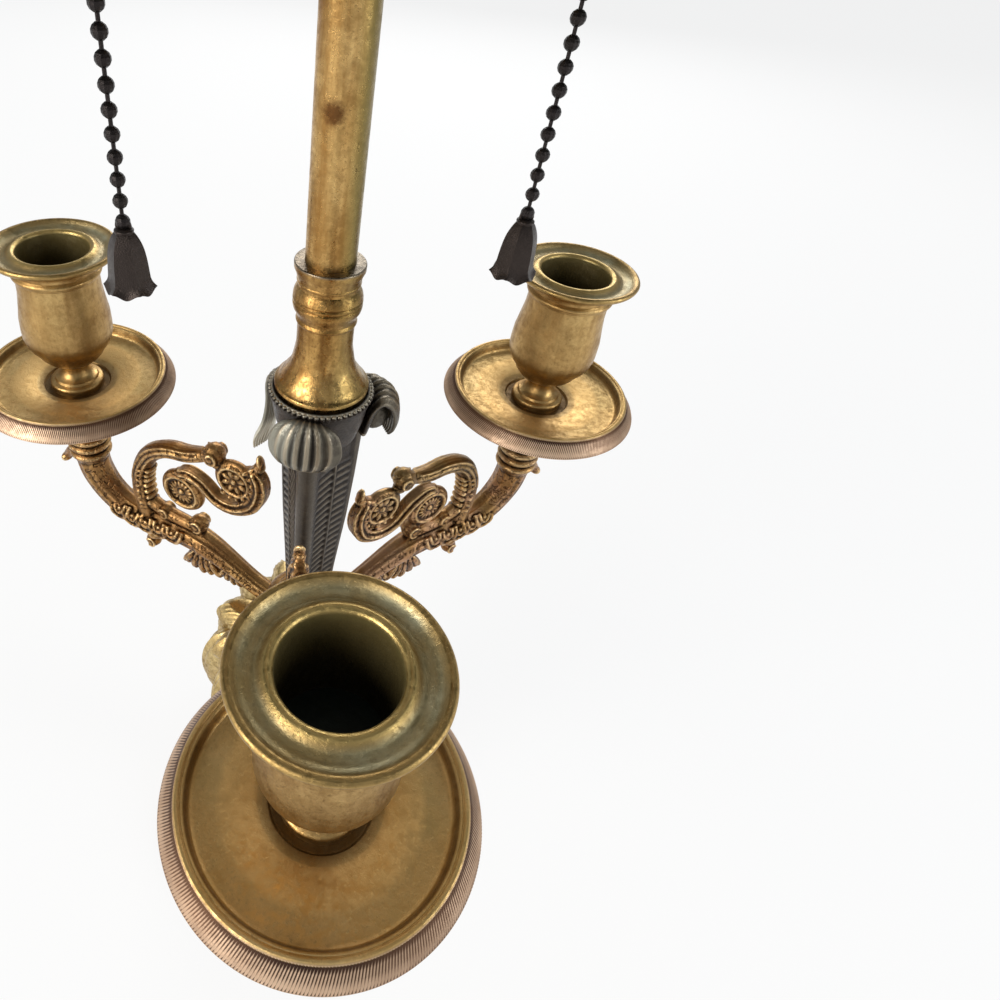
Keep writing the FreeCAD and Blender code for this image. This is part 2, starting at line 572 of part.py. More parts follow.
# Each leaf's stations from root to tip: distance from the axis, level, half width and half thickness. The leaves
# are bent by hand: the first hangs close to the shaft, and the last droops furthest.
LEAF_CURLS = (
    ((12.4, 6.0, 3.4, 2.0), (13.4, 15.0, 6.4, 2.1), (14.8, 24.0, 9.2, 2.1), (17.6, 29.6, 10.8, 2.0),
     (20.6, 26.6, 9.6, 1.8), (21.2, 20.4, 4.6, 1.5)),
    ((12.2, 4.0, 3.4, 2.0), (13.4, 14.4, 6.6, 2.2), (15.4, 24.4, 9.2, 2.3), (19.2, 29.6, 10.0, 2.2),
     (23.0, 25.6, 8.2, 2.0), (23.6, 17.2, 3.6, 1.5)),
    ((12.2, 4.0, 3.4, 2.0), (13.6, 15.0, 6.6, 2.3), (16.2, 25.4, 9.2, 2.4), (21.0, 29.4, 10.2, 2.3),
     (25.0, 23.4, 8.6, 2.1), (25.6, 12.6, 4.0, 1.6)),
)


def curled_leaf(name, turn, stations):
    """A leaf that rises on the shaft's corner, curls over its rim and droops."""
    ahead = FreeCAD.Vector(*[size(c).value for c in around(1.0, turn)])
    aside = FreeCAD.Vector(0, 0, 1).cross(ahead)
    sections = []
    for i, (reach, height, half_width, half_thickness) in enumerate(stations):
        before = stations[max(i - 1, 0)]
        after = stations[min(i + 1, len(stations) - 1)]
        along = ahead * (after[0] - before[0]) + FreeCAD.Vector(0, 0, after[1] - before[1])
        section = doc.addObject("Part::Ellipse", "%s_section_%d" % (name, i))
        section.MajorRadius = half_width
        section.MinorRadius = half_thickness
        x, y, _ = around(reach, turn)
        facing = FreeCAD.Rotation(aside, FreeCAD.Vector(), along, "ZXY")
        sections.append(place(section, (x, y, level(height)), tilt=facing))
    leaf = doc.addObject("Part::Loft", name)
    leaf.Sections = sections
    leaf.Solid = True
    leaf.Ruled = False
    return leaf


ring = d.shaft_rim_radius
shaft_cup = turned("shaft_cup", [
    (PIPE_CLEAR, level(22.0)), (11.5, level(22.0)), (ring - 0.6, level(33.0), -0.2), (ring, level(34.4)),
    (ring, level(36.6), 0.5), (ring - 0.8, level(SHAFT_RIM), 0.3), (d.collar_flare + 0.35, level(SHAFT_RIM)),
    (d.collar_flare + 0.35, level(COLLAR_SEAT)), (PIPE_CLEAR, level(COLLAR_SEAT))])
shaft_leaves = [curled_leaf("shaft_leaf_%d" % i, d.shaft_turn + 120.0 * i, stations)
                for i, stations in enumerate(LEAF_CURLS)]
shaft_solid = fused("shaft_solid", [shaft_taper(), shaft_cup] + shaft_leaves)
shaft_bore = cylinder("shaft_bore", PIPE_CLEAR, 110.0, (0.0, 0.0, level(HUB_TOP - 1.0)))
seat_room = cylinder("seat_room", d.collar_flare + 0.3, 20.0, (0.0, 0.0, level(COLLAR_SEAT)))
node(cut("leaf_shaft", cut("shaft_bored", shaft_solid, shaft_bore), seat_room), "leaf_shaft")

# Turned collar, stem tube and the threaded pipe through all of them.
STEM_SEAT = 62.0
COLLAR_TOP = 76.0
flare = d.collar_flare
rings = d.collar_ring
neck = d.collar_neck
node(turned("collar", [
    (PIPE_CLEAR, level(COLLAR_SEAT)), (flare - 0.5, level(COLLAR_SEAT)), (flare, level(38.6)),
    (flare, level(39.8), 0.3), (flare - 2.2, level(42.4), -0.12), (neck + 0.7, level(48.4), -0.16),
    (neck, level(56.0), -0.08), (neck + 0.3, level(59.0)), (rings - 0.3, level(60.4)),
    (rings, level(61.2), 0.2), (rings, level(63.4), 0.5), (rings - 0.8, level(64.0)),
    (rings, level(64.8), 0.3), (rings, level(67.4), 0.4), (rings - 1.0, level(68.2)),
    (rings - 1.1, level(69.6)), (rings - 0.2, level(71.6), -0.3), (rings, level(72.4)),
    (rings, level(COLLAR_TOP - 0.6)), (rings - 0.6, level(COLLAR_TOP), 0.4),
    (d.stem_radius + d.running_gap, level(COLLAR_TOP)), (d.stem_radius + d.running_gap, level(STEM_SEAT)),
    (PIPE_CLEAR, level(STEM_SEAT))]), "collar")
CLUSTER_BOTTOM = 139.0
stem_bore = d.stem_radius - d.stem_wall
node(turned("stem_tube", [
    (stem_bore, level(STEM_SEAT)), (d.stem_radius, level(STEM_SEAT)), (d.stem_radius, level(CLUSTER_BOTTOM)),
    (stem_bore, level(CLUSTER_BOTTOM))]), "stem_tube")
PIPE_BOTTOM = 3.2
PIPE_TOP = 152.0
node(turned("tie_pipe", [
    (d.pipe_bore, PIPE_BOTTOM), (d.pipe_radius, PIPE_BOTTOM), (d.pipe_radius, level(PIPE_TOP)),
    (d.pipe_bore, level(PIPE_TOP))]), "tie_pipe")

# Cluster: a turned body with two arms that bend up to the lamp sockets.
CLUSTER_TOP = 165.0
BEND = 6.5
ROD_SEAT = 156.0
arm_level = level(d.cluster_level)
cluster_core = turned("cluster_core", [
    (0, level(CLUSTER_BOTTOM)), (8.0, level(CLUSTER_BOTTOM)), (8.6, level(140.2), 0.3), (7.6, level(142.0), 0.2),
    (10.4, level(147.0), -0.2), (10.4, level(150.0), 0.3), (7.4, level(155.0), -0.2), (7.4, level(157.0)),
    (8.4, level(159.0), 0.6), (6.4, level(162.0), 0.2), (6.0, level(CLUSTER_TOP)), (0, level(CLUSTER_TOP))])


def cluster_arm(name, turn):
    """One arm of the cluster: out along the turn, round a bend, and up to the socket's bottom."""
    axis = FreeCAD.Rotation(FreeCAD.Vector(0, 0, 1), turn.value)
    out = cylinder(name + "_out", d.cluster_tube, d.cluster_reach - BEND, (0.0, 0.0, arm_level),
                   tilt=outward(turn.value))
    bend = doc.addObject("Part::Torus", name + "_bend")
    bend.Radius1 = BEND
    bend.Radius2 = d.cluster_tube.value
    bend.Angle3 = 90
    bind(bend, "Radius2", d.cluster_tube)
    upright = FreeCAD.Rotation(FreeCAD.Vector(1, 0, 0), 90)
    corner = FreeCAD.Rotation(FreeCAD.Vector(0, 1, 0), 90)
    place(bend, around(d.cluster_reach - BEND, turn, arm_level + BEND), tilt=axis * corner * upright)
    rise = d.cap_level - d.cluster_level - BEND
    up = cylinder(name + "_up", d.cluster_tube, rise, around(d.cluster_reach, turn, arm_level + BEND))
    return [out, bend, up]


right_turn = d.cluster_turn
left_turn = d.cluster_turn + 180.0
cluster_solid = fused("cluster_solid", [cluster_core] + cluster_arm("cluster_right", right_turn)
                      + cluster_arm("cluster_left", left_turn))
pipe_way = cylinder("cluster_pipe_way", PIPE_CLEAR, PIPE_TOP - CLUSTER_BOTTOM + 1.0,
                    (0.0, 0.0, level(CLUSTER_BOTTOM - 1.0)))
ROD_PLUG = 3.0
rod_way = cylinder("cluster_rod_way", ROD_PLUG + d.running_gap, 12.0, (0.0, 0.0, level(ROD_SEAT)))
nipple_ways = []
NIPPLE_RADIUS = 3.0
NIPPLE_DEPTH = 4.0
for turn in (right_turn, left_turn):
    nipple_ways.append(cylinder("nipple_way_%d" % turn.value, NIPPLE_RADIUS + d.running_gap, 20.0,
                                around(d.cluster_reach, turn, level(d.cap_level - NIPPLE_DEPTH))))
node(cut("cluster_body", cluster_solid, fused("cluster_ways", [pipe_way, rod_way] + nipple_ways)), "cluster_body")

# Lamp sockets and their pull chains, one set on each side.
CAP_HEIGHT = 15.0
CAP_METAL = 0.7
LINER = 0.6
BODY_BOTTOM = 5.0
BODY_TOP = 24.0
CONTACT_WELL = 2.2      # the centre contact sits this deep, below the space for the bulb's base
SCREW_SHELL_WALL = 0.4
shell = d.shell_radius
shell_inside = shell - d.shell_wall
liner_inside = shell_inside - 0.1 - LINER
block_radius = liner_inside - 0.2
top = d.shell_height
outlet_height = d.outlet_level - d.cap_level


def facing(turn):
    """Turns a flat outline upright: its x lies sideways, its y points up and it thickens along the direction."""
    ahead = FreeCAD.Vector(math.cos(math.radians(turn)), math.sin(math.radians(turn)), 0)
    return FreeCAD.Rotation(FreeCAD.Vector(0, 0, 1).cross(ahead), FreeCAD.Vector(0, 0, 1), ahead, "ZXY")


def slot(label, half_width, low, high, thickness, reach, aim, height):
    """A rounded slot, or the piece that fills it, at a distance from the socket's axis."""
    rounding = 0.9
    x, y, z = around(reach, aim, height)
    return padded(label, [
        (-half_width, low), (half_width, low, rounding), (half_width, high), (-half_width, high, rounding)],
        thickness, at=(x, y, z), tilt=facing(aim))


PULL_TRAVEL = 5.0


def lamp_socket(side, turn, outlet_turn):
    base = around(d.cluster_reach, turn, level(d.cap_level))
    aim = outlet_turn.value
    nipple_bore = NIPPLE_RADIUS + d.running_gap
    node(turned("socket_nipple_" + side, [
        (1.8, -NIPPLE_DEPTH), (NIPPLE_RADIUS, -NIPPLE_DEPTH), (NIPPLE_RADIUS, 3.4), (1.8, 3.4)], at=base),
        "socket_nipple_" + side)
    cap = turned("cap_blank_" + side, [
        (nipple_bore, 0), (6.0, 0), (shell - 2.0, 5.0, 0.25), (shell + CAP_METAL, 9.0, 0.2),
        (shell + CAP_METAL, CAP_HEIGHT, 0.05), (shell + 0.1, CAP_HEIGHT), (shell + 0.1, 9.6),
        (shell - 2.8, 5.8, -0.2), (6.0, 1.2, -0.25), (nipple_bore, 1.2)])
    way = outlet_height
    low = -PULL_TRAVEL
    notch = slot("cap_notch_" + side, 3.5, low, 0.6, 8.0, shell - 4.0, aim, way)
    node(cut("socket_cap_" + side, cap, notch, at=base), "socket_cap_" + side)
    shell_tube = turned("shell_blank_" + side, [
        (shell_inside, 10.0), (shell, 10.0), (shell, top - 4.4), (shell, top - 1.6, 0.6), (shell, top),
        (shell_inside, top)])
    shell_way = slot("shell_way_" + side, 3.5, low, 0.6, 8.0, shell - 4.0, aim, way)
    node(cut("socket_shell_" + side, shell_tube, shell_way, at=base), "socket_shell_" + side)
    liner_tube = turned("liner_blank_" + side, [
        (liner_inside, 10.2), (liner_inside + LINER, 10.2), (liner_inside + LINER, top - 1.0),
        (liner_inside, top - 1.0)])
    liner_way = slot("liner_way_" + side, 2.4, low, 0.6, 8.0, shell - 5.0, aim, way)
    node(cut("socket_liner_" + side, liner_tube, liner_way, at=base), "socket_liner_" + side)
    block = turned("block_blank_" + side, [
        (0, BODY_BOTTOM), (8.0, BODY_BOTTOM), (block_radius - 1.4, 9.8), (block_radius, 11.0),
        (block_radius, BODY_TOP - 1.0), (block_radius - 1.0, BODY_TOP), (5.2, BODY_TOP),
        (5.2, BODY_TOP - CONTACT_WELL), (0, BODY_TOP - CONTACT_WELL)])
    lever_way = slot("lever_way_" + side, 3.0, -7.0, 1.5, 14.0, 4.0, aim, way)
    contact_way = cylinder("contact_way_" + side, 1.3, 6.0, (0.0, 0.0, BODY_TOP - 4.0))
    node(cut("socket_body_" + side, block, fused("block_ways_" + side, [lever_way, contact_way]), at=base),
         "socket_body_" + side)
    bore = d.thread_bore
    pitch = 3.6
    crest = bore + SCREW_SHELL_WALL + 0.5
    waves = []
    for i in range(4):
        wave = BODY_TOP + 1.8 + pitch * i
        waves += [(crest, wave, -0.3), (bore + SCREW_SHELL_WALL, wave + pitch / 2.0, -0.3)]
    node(turned("screw_shell_" + side, [
        (bore, BODY_TOP), (bore + SCREW_SHELL_WALL, BODY_TOP)] + waves
        + [(bore + SCREW_SHELL_WALL, top - 2.0), (bore, top - 2.0)], at=base), "screw_shell_" + side)
    well = BODY_TOP - CONTACT_WELL
    node(turned("centre_contact_" + side, [
        (0, BODY_TOP - 4.0), (1.25, BODY_TOP - 4.0), (1.25, well), (4.0, well), (4.0, well + 0.5),
        (1.6, well + 1.6, 0.2), (0, well + 1.8)], at=base), "centre_contact_" + side)
    throat = slot("outlet_throat_" + side, 3.2, low, 0.6, 3.8, shell - 0.3, aim, way)
    flange = slot("outlet_flange_" + side, 4.2, low, 0.6, 0.8, shell + 0.9, aim, way)
    lip = slot("outlet_lip_" + side, 3.9, low, 0.6, 0.9, shell + 2.8, aim, way)
    hollow = slot("outlet_hollow_" + side, 2.3, low, 0.6, 8.0, shell - 2.0, aim, way)
    outlet = fused("outlet_solid_" + side, [throat, flange, lip])
    node(cut("chain_outlet_" + side, outlet, hollow, at=base), "chain_outlet_" + side)
    return base, aim, way


LEVER_THICKNESS = 2.4
LEVER_PIVOT = 6.6
LEVER_TIP = 12.8
PIN_RADIUS = 0.9


def pull_set(side, base, aim, way):
    aim_turn = FreeCAD.Rotation(FreeCAD.Vector(0, 0, 1), aim)
    across = FreeCAD.Rotation(FreeCAD.Vector(1, 0, 0), 90)
    plate = padded("lever_plate_" + side, [
        (LEVER_PIVOT, -1.8), (LEVER_PIVOT, 1.8, -0.9), (LEVER_TIP, 0.9), (LEVER_TIP, -0.9, -0.9)], LEVER_THICKNESS)
    lift = aim_turn.multVec(FreeCAD.Vector(0, LEVER_THICKNESS / 2, 0))
    place(plate, (base[0] + lift.x, base[1] + lift.y, base[2] + way), tilt=aim_turn * across)
    node(plate, "pull_lever_" + side)
    chain_x = base[0] + around(d.outlet_reach, aim)[0]
    chain_y = base[1] + around(d.outlet_reach, aim)[1]
    link_base = (chain_x, chain_y, base[2] + way)
    eye = turned("link_eye_" + side, [
        (0, -3.4), (0.9, -3.4), (1.5, -2.2), (1.5, 1.2), (0.8, 1.8), (0, 1.8)])
    tail_start = LEVER_TIP + 1.2
    tail = cylinder("link_tail_" + side, 0.7, d.outlet_reach - tail_start, around(tail_start - d.outlet_reach, aim),
                    tilt=outward(aim))
    node(fused("pull_link_" + side, [eye, tail], at=link_base), "pull_link_" + side)
    return link_base


def bead_chain(label, at):
    """Beads on a thin wire, drawn from the top down: one bead is turned, then repeated along the wire."""
    chain = doc.addObject("PartDesign::Body", label)
    length = d.bead_pitch * (d.bead_count - 1.0)
    wire_radius = 0.45
    wire = add_sketch(chain, "XZ_Plane", label + "_wire")
    draw_outline(wire, [(0, 0), (wire_radius, 0), (wire_radius, length), (0, length)])
    core = chain.newObject("PartDesign::Revolution", label + "_core")
    core.Profile = wire
    core.ReferenceAxis = (wire, ["V_Axis"])
    core.Angle = FULL_TURN
    half = d.bead_radius * 0.45
    sketch = add_sketch(chain, "XZ_Plane", label + "_bead")
    draw_outline(sketch, [
        (0, -d.bead_radius), (half, -d.bead_radius * 0.9), (d.bead_radius, -half), (d.bead_radius, half),
        (half, d.bead_radius * 0.9), (0, d.bead_radius)])
    bead = chain.newObject("PartDesign::Revolution", label + "_turned_bead")
    bead.Profile = sketch
    bead.ReferenceAxis = (sketch, ["V_Axis"])
    bead.Angle = FULL_TURN
    row = chain.newObject("PartDesign::LinearPattern", label + "_row")
    row.Originals = [bead]
    row.Direction = (sketch, ["V_Axis"])
    row.Length = length.value
    row.Occurrences = int(round(d.bead_count.value))
    bind(row, "Length", length)
    chain.Tip = row
    return place(chain, at)


BELL_SECTIONS = ((0.0, 1.3), (0.10, 2.6), (0.30, 3.6), (0.62, 4.1), (0.84, 4.5), (1.0, 5.6))


def bell(side, at):
    """A six-sided tulip bell, drawn from its lip up, with a shallow hollow under it."""
    hexagons = []
    for i, (drop, reach) in enumerate(BELL_SECTIONS):
        ring = doc.addObject("Part::RegularPolygon", "bell_%s_hexagon_%d" % (side, i))
        ring.Polygon = 6
        ring.Circumradius = reach * d.bell_lip.value / 5.6
        bind(ring, "Circumradius", d.bell_lip * (reach / 5.6))
        hexagons.append(place(ring, (0.0, 0.0, -d.bell_height * drop)))
    skin = doc.addObject("Part::Loft", "bell_skin_" + side)
    skin.Sections = hexagons
    skin.Solid = True
    skin.Ruled = True
    hollow = doc.addObject("Part::Cone", "bell_hollow_" + side)
    hollow.Radius1 = 3.9
    hollow.Radius2 = 2.4
    hollow.Height = 3.4
    place(hollow, (0.0, 0.0, -d.bell_height))
    return cut("bell_pull_" + side, skin, hollow, at=at)


for side, turn, outlet_turn in (("left", left_turn, d.left_outlet_turn),
                                ("right", right_turn, d.right_outlet_turn)):
    base, aim, way = lamp_socket(side, turn, outlet_turn)
    link_base = pull_set(side, base, aim, way)
    LINK_FOOT = 3.4
    chain_length = d.bead_pitch * (d.bead_count - 1.0)
    chain_top = link_base[2] - LINK_FOOT - 0.3 - d.bead_radius
    chain_foot = (link_base[0], link_base[1], chain_top - chain_length)
    node(bead_chain("pull_chain_" + side, chain_foot), "pull_chain_" + side)
    bell_top = (link_base[0], link_base[1], chain_foot[2] - d.bead_radius)
    node(bell(side, bell_top), "bell_pull_" + side)

# Shade rod, sliding carrier with spider, shade, key and finial.
rod = d.shade_rod_radius
node(turned("shade_rod", [
    (0, level(ROD_SEAT)), (ROD_PLUG, level(ROD_SEAT)), (ROD_PLUG, level(CLUSTER_TOP)), (rod, level(CLUSTER_TOP)),
    (rod, level(d.shade_rod_top)), (2.0, level(d.shade_rod_top)), (2.0, level(d.shade_rod_top + 6.0)),
    (0, level(d.shade_rod_top + 6.0))]), "shade_rod")
spider_level = level(d.shade_level + d.shade_height - d.carrier_drop)
SPIDER_GAP = 0.65
SLEEVE_DOWN = 10.0
SLEEVE_UP = 8.0
sleeve_bore = rod + d.running_gap
COLLAR_REACH = 9.5
EYE_REACH = 14.0
KEY_LEVEL = -5.0
KEY_RADIUS = 1.9
key_turn = 265.0
sleeve = turned("carrier_sleeve", [
    (sleeve_bore, spider_level - SLEEVE_DOWN), (7.0, spider_level - SLEEVE_DOWN),
    (7.6, spider_level - SLEEVE_DOWN + 1.0), (7.0, spider_level - 2.0), (COLLAR_REACH, spider_level - 1.5),
    (COLLAR_REACH, spider_level + 1.5), (7.0, spider_level + 2.0), (6.4, spider_level + SLEEVE_UP - 1.0),
    (5.8, spider_level + SLEEVE_UP), (sleeve_bore, spider_level + SLEEVE_UP)])
boss = cylinder("carrier_boss", 3.6, 7.0, around(sleeve_bore + 0.6, key_turn, spider_level + KEY_LEVEL),
                tilt=outward(key_turn))
key_way = cylinder("carrier_key_way", KEY_RADIUS + d.running_gap, 14.0,
                   around(0.5, key_turn, spider_level + KEY_LEVEL),
                   tilt=outward(key_turn))
rod_room = cylinder("carrier_rod_room", sleeve_bore, 40.0, (0.0, 0.0, spider_level - 20.0))
bored = cut("carrier_bored", fused("carrier_solid", [sleeve, boss]), rod_room)
node(cut("shade_carrier", bored, key_way), "shade_carrier")
slope = (d.shade_bottom_radius - d.shade_top_radius) / d.shade_height
spider_reach = d.shade_top_radius + slope * d.carrier_drop - d.shade_sheet - SPIDER_GAP
SPIDER_TURNS = (100.0, 220.0, 340.0)
HOOP_WIDTH = 5.0
spokes = [turned("spider_hoop", [
    (spider_reach - HOOP_WIDTH, spider_level - 1.2), (spider_reach + slope * 1.2, spider_level - 1.2),
    (spider_reach - slope * 1.2, spider_level + 1.2), (spider_reach - HOOP_WIDTH, spider_level + 1.2)]),
    turned("spider_eye", [
    (COLLAR_REACH + 0.1, spider_level - 1.5), (EYE_REACH, spider_level - 1.5), (EYE_REACH, spider_level + 1.5),
    (COLLAR_REACH + 0.1, spider_level + 1.5)])]
for turn in SPIDER_TURNS:
    spokes.append(cylinder("spider_spoke_%d" % turn, 1.5, spider_reach - (EYE_REACH - 1.0) - HOOP_WIDTH / 2,
                           around(EYE_REACH - 1.0, turn, spider_level), tilt=outward(turn)))
node(fused("shade_spider", spokes), "shade_spider")
low = level(d.shade_level)
high = level(d.shade_level + d.shade_height)
skin = d.shade_sheet
EDGE = 1.6
node(turned("shade", [
    (d.shade_bottom_radius - skin, low + EDGE), (d.shade_bottom_radius - skin - 0.6, low, 0.6),
    (d.shade_bottom_radius + 0.6, low, 0.6), (d.shade_bottom_radius, low + EDGE * 2.0, 0.5),
    (d.shade_top_radius, high - EDGE * 2.0), (d.shade_top_radius + 0.6, high, 0.6),
    (d.shade_top_radius - skin - 0.6, high, 0.6), (d.shade_top_radius - skin, high - EDGE)]), "shade")
key_start = rod + 0.3
key_shank = turned("key_shank", [
    (0, key_start), (KEY_RADIUS, key_start + 0.6), (KEY_RADIUS, 12.4), (2.6, 12.6), (2.6, 14.8, 0.4),
    (KEY_RADIUS, 15.4), (KEY_RADIUS, 19.0), (0, 19.0)])
key_wing = lobe("key_wing", (5.6, 1.5, 6.0), (0.0, 0.0, 22.0))
key_solid = fused("key_solid", [key_shank, key_wing])
node(place(key_solid, (0.0, 0.0, spider_level + KEY_LEVEL), tilt=outward(key_turn)), "shade_key")
tip = level(d.shade_rod_top)
node(turned("finial", [
    (2.0 + d.running_gap, tip), (6.0, tip), (6.6, tip + 1.5, 0.5), (6.0, tip + 3.0, 0.5), (3.6, tip + 5.5, -0.3),
    (8.0, tip + 13.0, 0.3), (8.0, tip + 17.0, 0.3), (3.0, tip + 24.0, 0.3), (2.6, tip + 26.0), (1.6, tip + 28.6),
    (0, tip + 29.5),
    (0, tip + 7.0), (2.0 + d.running_gap, tip + 7.0)]), "finial")

# Checks, then one file for each piece.
doc.recompute()
broken = [thing.Name for thing in doc.Objects if "Invalid" in thing.State or "Error" in thing.State]
for thing in nodes:
    if thing.Shape.isNull() or not thing.Shape.isValid() or not thing.Shape.Solids:
        broken.append(thing.Label)
if broken:
    raise SystemExit("these pieces failed: " + ", ".join(broken))
os.makedirs("parts", exist_ok=True)
for thing in nodes:
    thing.Shape.exportStep("parts/%s.step" % thing.Label)
    box = thing.Shape.BoundBox
    print("%-24s %2d solid(s) %9.0f mm3  z %.1f to %.1f" % (
        thing.Label, len(thing.Shape.Solids), thing.Shape.Volume, box.ZMin, box.ZMax))
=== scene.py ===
"""Looks of a three-light bouillotte lamp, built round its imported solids. Lengths are in metres."""
import bpy
import math
import numpy as np
from mathutils import Matrix, Vector


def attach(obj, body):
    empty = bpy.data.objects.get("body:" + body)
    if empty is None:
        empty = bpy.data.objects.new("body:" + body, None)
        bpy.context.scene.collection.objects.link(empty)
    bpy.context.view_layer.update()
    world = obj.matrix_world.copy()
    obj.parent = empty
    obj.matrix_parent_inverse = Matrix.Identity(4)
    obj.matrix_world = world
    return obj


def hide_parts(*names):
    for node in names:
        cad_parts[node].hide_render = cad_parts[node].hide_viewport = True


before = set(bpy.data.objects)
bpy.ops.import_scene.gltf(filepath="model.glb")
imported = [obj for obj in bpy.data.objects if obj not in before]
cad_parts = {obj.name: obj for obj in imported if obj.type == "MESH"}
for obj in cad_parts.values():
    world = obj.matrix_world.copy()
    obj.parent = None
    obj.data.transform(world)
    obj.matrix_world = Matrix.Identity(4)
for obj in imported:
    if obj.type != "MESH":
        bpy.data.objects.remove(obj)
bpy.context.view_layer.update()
MM = 0.001
PAN = 230.0            # the drip pans' rim bands stand this high, in millimetres
CUPS = {"front": -90.0, "right": 30.0, "left": 150.0}
REACH = 97.4


def polar(reach, turn, height=0.0):
    """A point in millimetres at a distance and direction from the stem."""
    return Vector((reach * math.cos(math.radians(turn)), reach * math.sin(math.radians(turn)), height))


# Finishes
class Sock:
    """A node's socket, with Python's operators for the shader's sums."""

    def __init__(self, finish, socket):
        self.finish = finish
        self.socket = socket

    def maths(self, operation, *values):
        return self.finish.make("Math", {"operation": operation}, *values)

    def __add__(self, other):
        return self.maths("ADD", self, other)

    def __sub__(self, other):
        return self.maths("SUBTRACT", self, other)

    def __rsub__(self, other):
        return self.maths("SUBTRACT", other, self)

    def __mul__(self, other):
        return self.maths("MULTIPLY", self, other)

    def __pow__(self, other):
        return self.maths("POWER", self, other)

    __radd__ = __add__
    __rmul__ = __mul__


def paint(red, green, blue):
    """A colour as seen on a screen, from 0 to 255, as the shader wants it."""
    return tuple((c / 255.0 / 12.92 if c <= 10.3 else ((c / 255.0 + 0.055) / 1.055) ** 2.4)
                 for c in (red, green, blue)) + (1.0,)


class Finish:
    """One surface finish: a material whose nodes are made here."""

    def __init__(self, name, **shader):
        self.material = bpy.data.materials.new(name)
        self.material.use_nodes = True
        self.nodes = self.material.node_tree.nodes
        self.links = self.material.node_tree.links
        self.shader = next(n for n in self.nodes if n.type == "BSDF_PRINCIPLED")
        self.dress(**shader)

    def put(self, socket, value):
        if isinstance(value, Sock):
            self.links.new(value.socket, socket)
        elif value is not None:
            socket.default_value = value

    def make(self, kind, settings, *values, out=0, **named):
        """Adds one node of a type, first its settings, then the values or links of its sockets."""
        made = self.nodes.new("ShaderNode" + kind)
        for key, setting in settings.items():
            if key == "stops":
                ramp = made.color_ramp
                while len(ramp.elements) < len(setting):
                    ramp.elements.new(0.5)
                for element, (place, colour) in zip(ramp.elements, setting):
                    element.position = place
                    element.color = colour
            else:
                setattr(made, key, setting)
        for socket, value in zip(made.inputs, values):
            self.put(socket, value)
        for key, value in named.items():
            self.put(made.inputs[key.replace("_", " ")], value)
        return Sock(self, made.outputs[out])

    def dress(self, **shader):
        for key, value in shader.items():
            self.put(self.shader.inputs[key.replace("_", " ")], value)

    def place(self, centre=(0.0, 0.0, 0.0), size=(1.0, 1.0, 1.0)):
        """The piece's own coordinates in millimetres, measured from a centre."""
        here = self.make("TexCoord", {}, out=3)
        shift = tuple(-c * s for c, s in zip(centre, size))
        return self.make("Mapping", {}, here, shift, (0.0, 0.0, 0.0), tuple(s / MM for s in size))

    def noise(self, where, scale, detail=4.0, roughness=0.55, low=0.3, high=0.7):
        """Cloudy spots between 0 and 1; the scale is in spots for each millimetre."""
        cloud = self.make("TexNoise", {}, where, Scale=scale, Detail=detail, Roughness=roughness)
        return self.spread(cloud, low, high)

    def spread(self, value, low, high, to_low=0.0, to_high=1.0):
        return self.make("MapRange", {"clamp": True}, value, low, high, to_low, to_high)

    def blend(self, factor, first, second):
        mixer = self.nodes.new("ShaderNodeMix")
        mixer.data_type = "RGBA"
        mixer.clamp_factor = True
        for socket, value in ((mixer.inputs[0], factor), (mixer.inputs[6], first), (mixer.inputs[7], second)):
            self.put(socket, value)
        return Sock(self, mixer.outputs[2])

    def parts_of(self, where):
        """The sideways, forward and upward coordinates of a place, and its distance from the upright axis."""
        split = self.nodes.new("ShaderNodeSeparateXYZ")
        self.links.new(where.socket, split.inputs[0])
        x, y, z = (Sock(self, split.outputs[i]) for i in range(3))
        return x, y, z, (x * x + y * y) ** 0.5

    def bump(self, height, depth, normal=None):
        """Relief of a depth in millimetres."""
        return self.make("Bump", {}, Strength=1.0, Distance=depth * MM, Height=height, Normal=normal)

    def relief(self, low, high):
        """From 0 to 1 between two heights of a casting's detail over its surroundings, in millimetres."""
        return self.spread(self.make("Attribute", {"attribute_name": "relief"}, out=2), low, high)


# Modelling
def clear():
    """Back to object mode with nothing selected."""
    if bpy.context.object and bpy.context.object.mode != "OBJECT":
        bpy.ops.object.mode_set(mode="OBJECT")
    bpy.ops.object.select_all(action="DESELECT")


def pick(*pieces):
    clear()
    for piece in pieces:
        piece.select_set(True)
    bpy.context.view_layer.objects.active = pieces[0]
    return pieces[0]


def settle(piece):
    """Moves the piece's place, turn and size into its mesh."""
    pick(piece)
    bpy.ops.object.transform_apply(location=True, rotation=True, scale=True)
    return piece


def round_off(piece, angle=32.0):
    """Closes seams, points the faces outwards and smooths all but the sharp edges."""
    pick(piece)
    bpy.ops.object.mode_set(mode="EDIT")
    bpy.ops.mesh.select_all(action="SELECT")
    bpy.ops.mesh.remove_doubles(threshold=0.00001)
    bpy.ops.mesh.normals_make_consistent(inside=False)
    bpy.ops.object.mode_set(mode="OBJECT")
    bpy.ops.object.shade_smooth_by_angle(angle=math.radians(angle))
    return piece


def finished(piece, name, finish, body="stand", node=None):
    """Names a finished piece and says what it is made of, what it rides on and what it stands for."""
    piece.name = name
    piece.data.name = name
    piece.data.materials.clear()
    piece.data.materials.append(finish.material)
    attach(piece, body)
    if node:
        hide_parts(*(node if isinstance(node, (list, tuple)) else (node,)))
    return piece


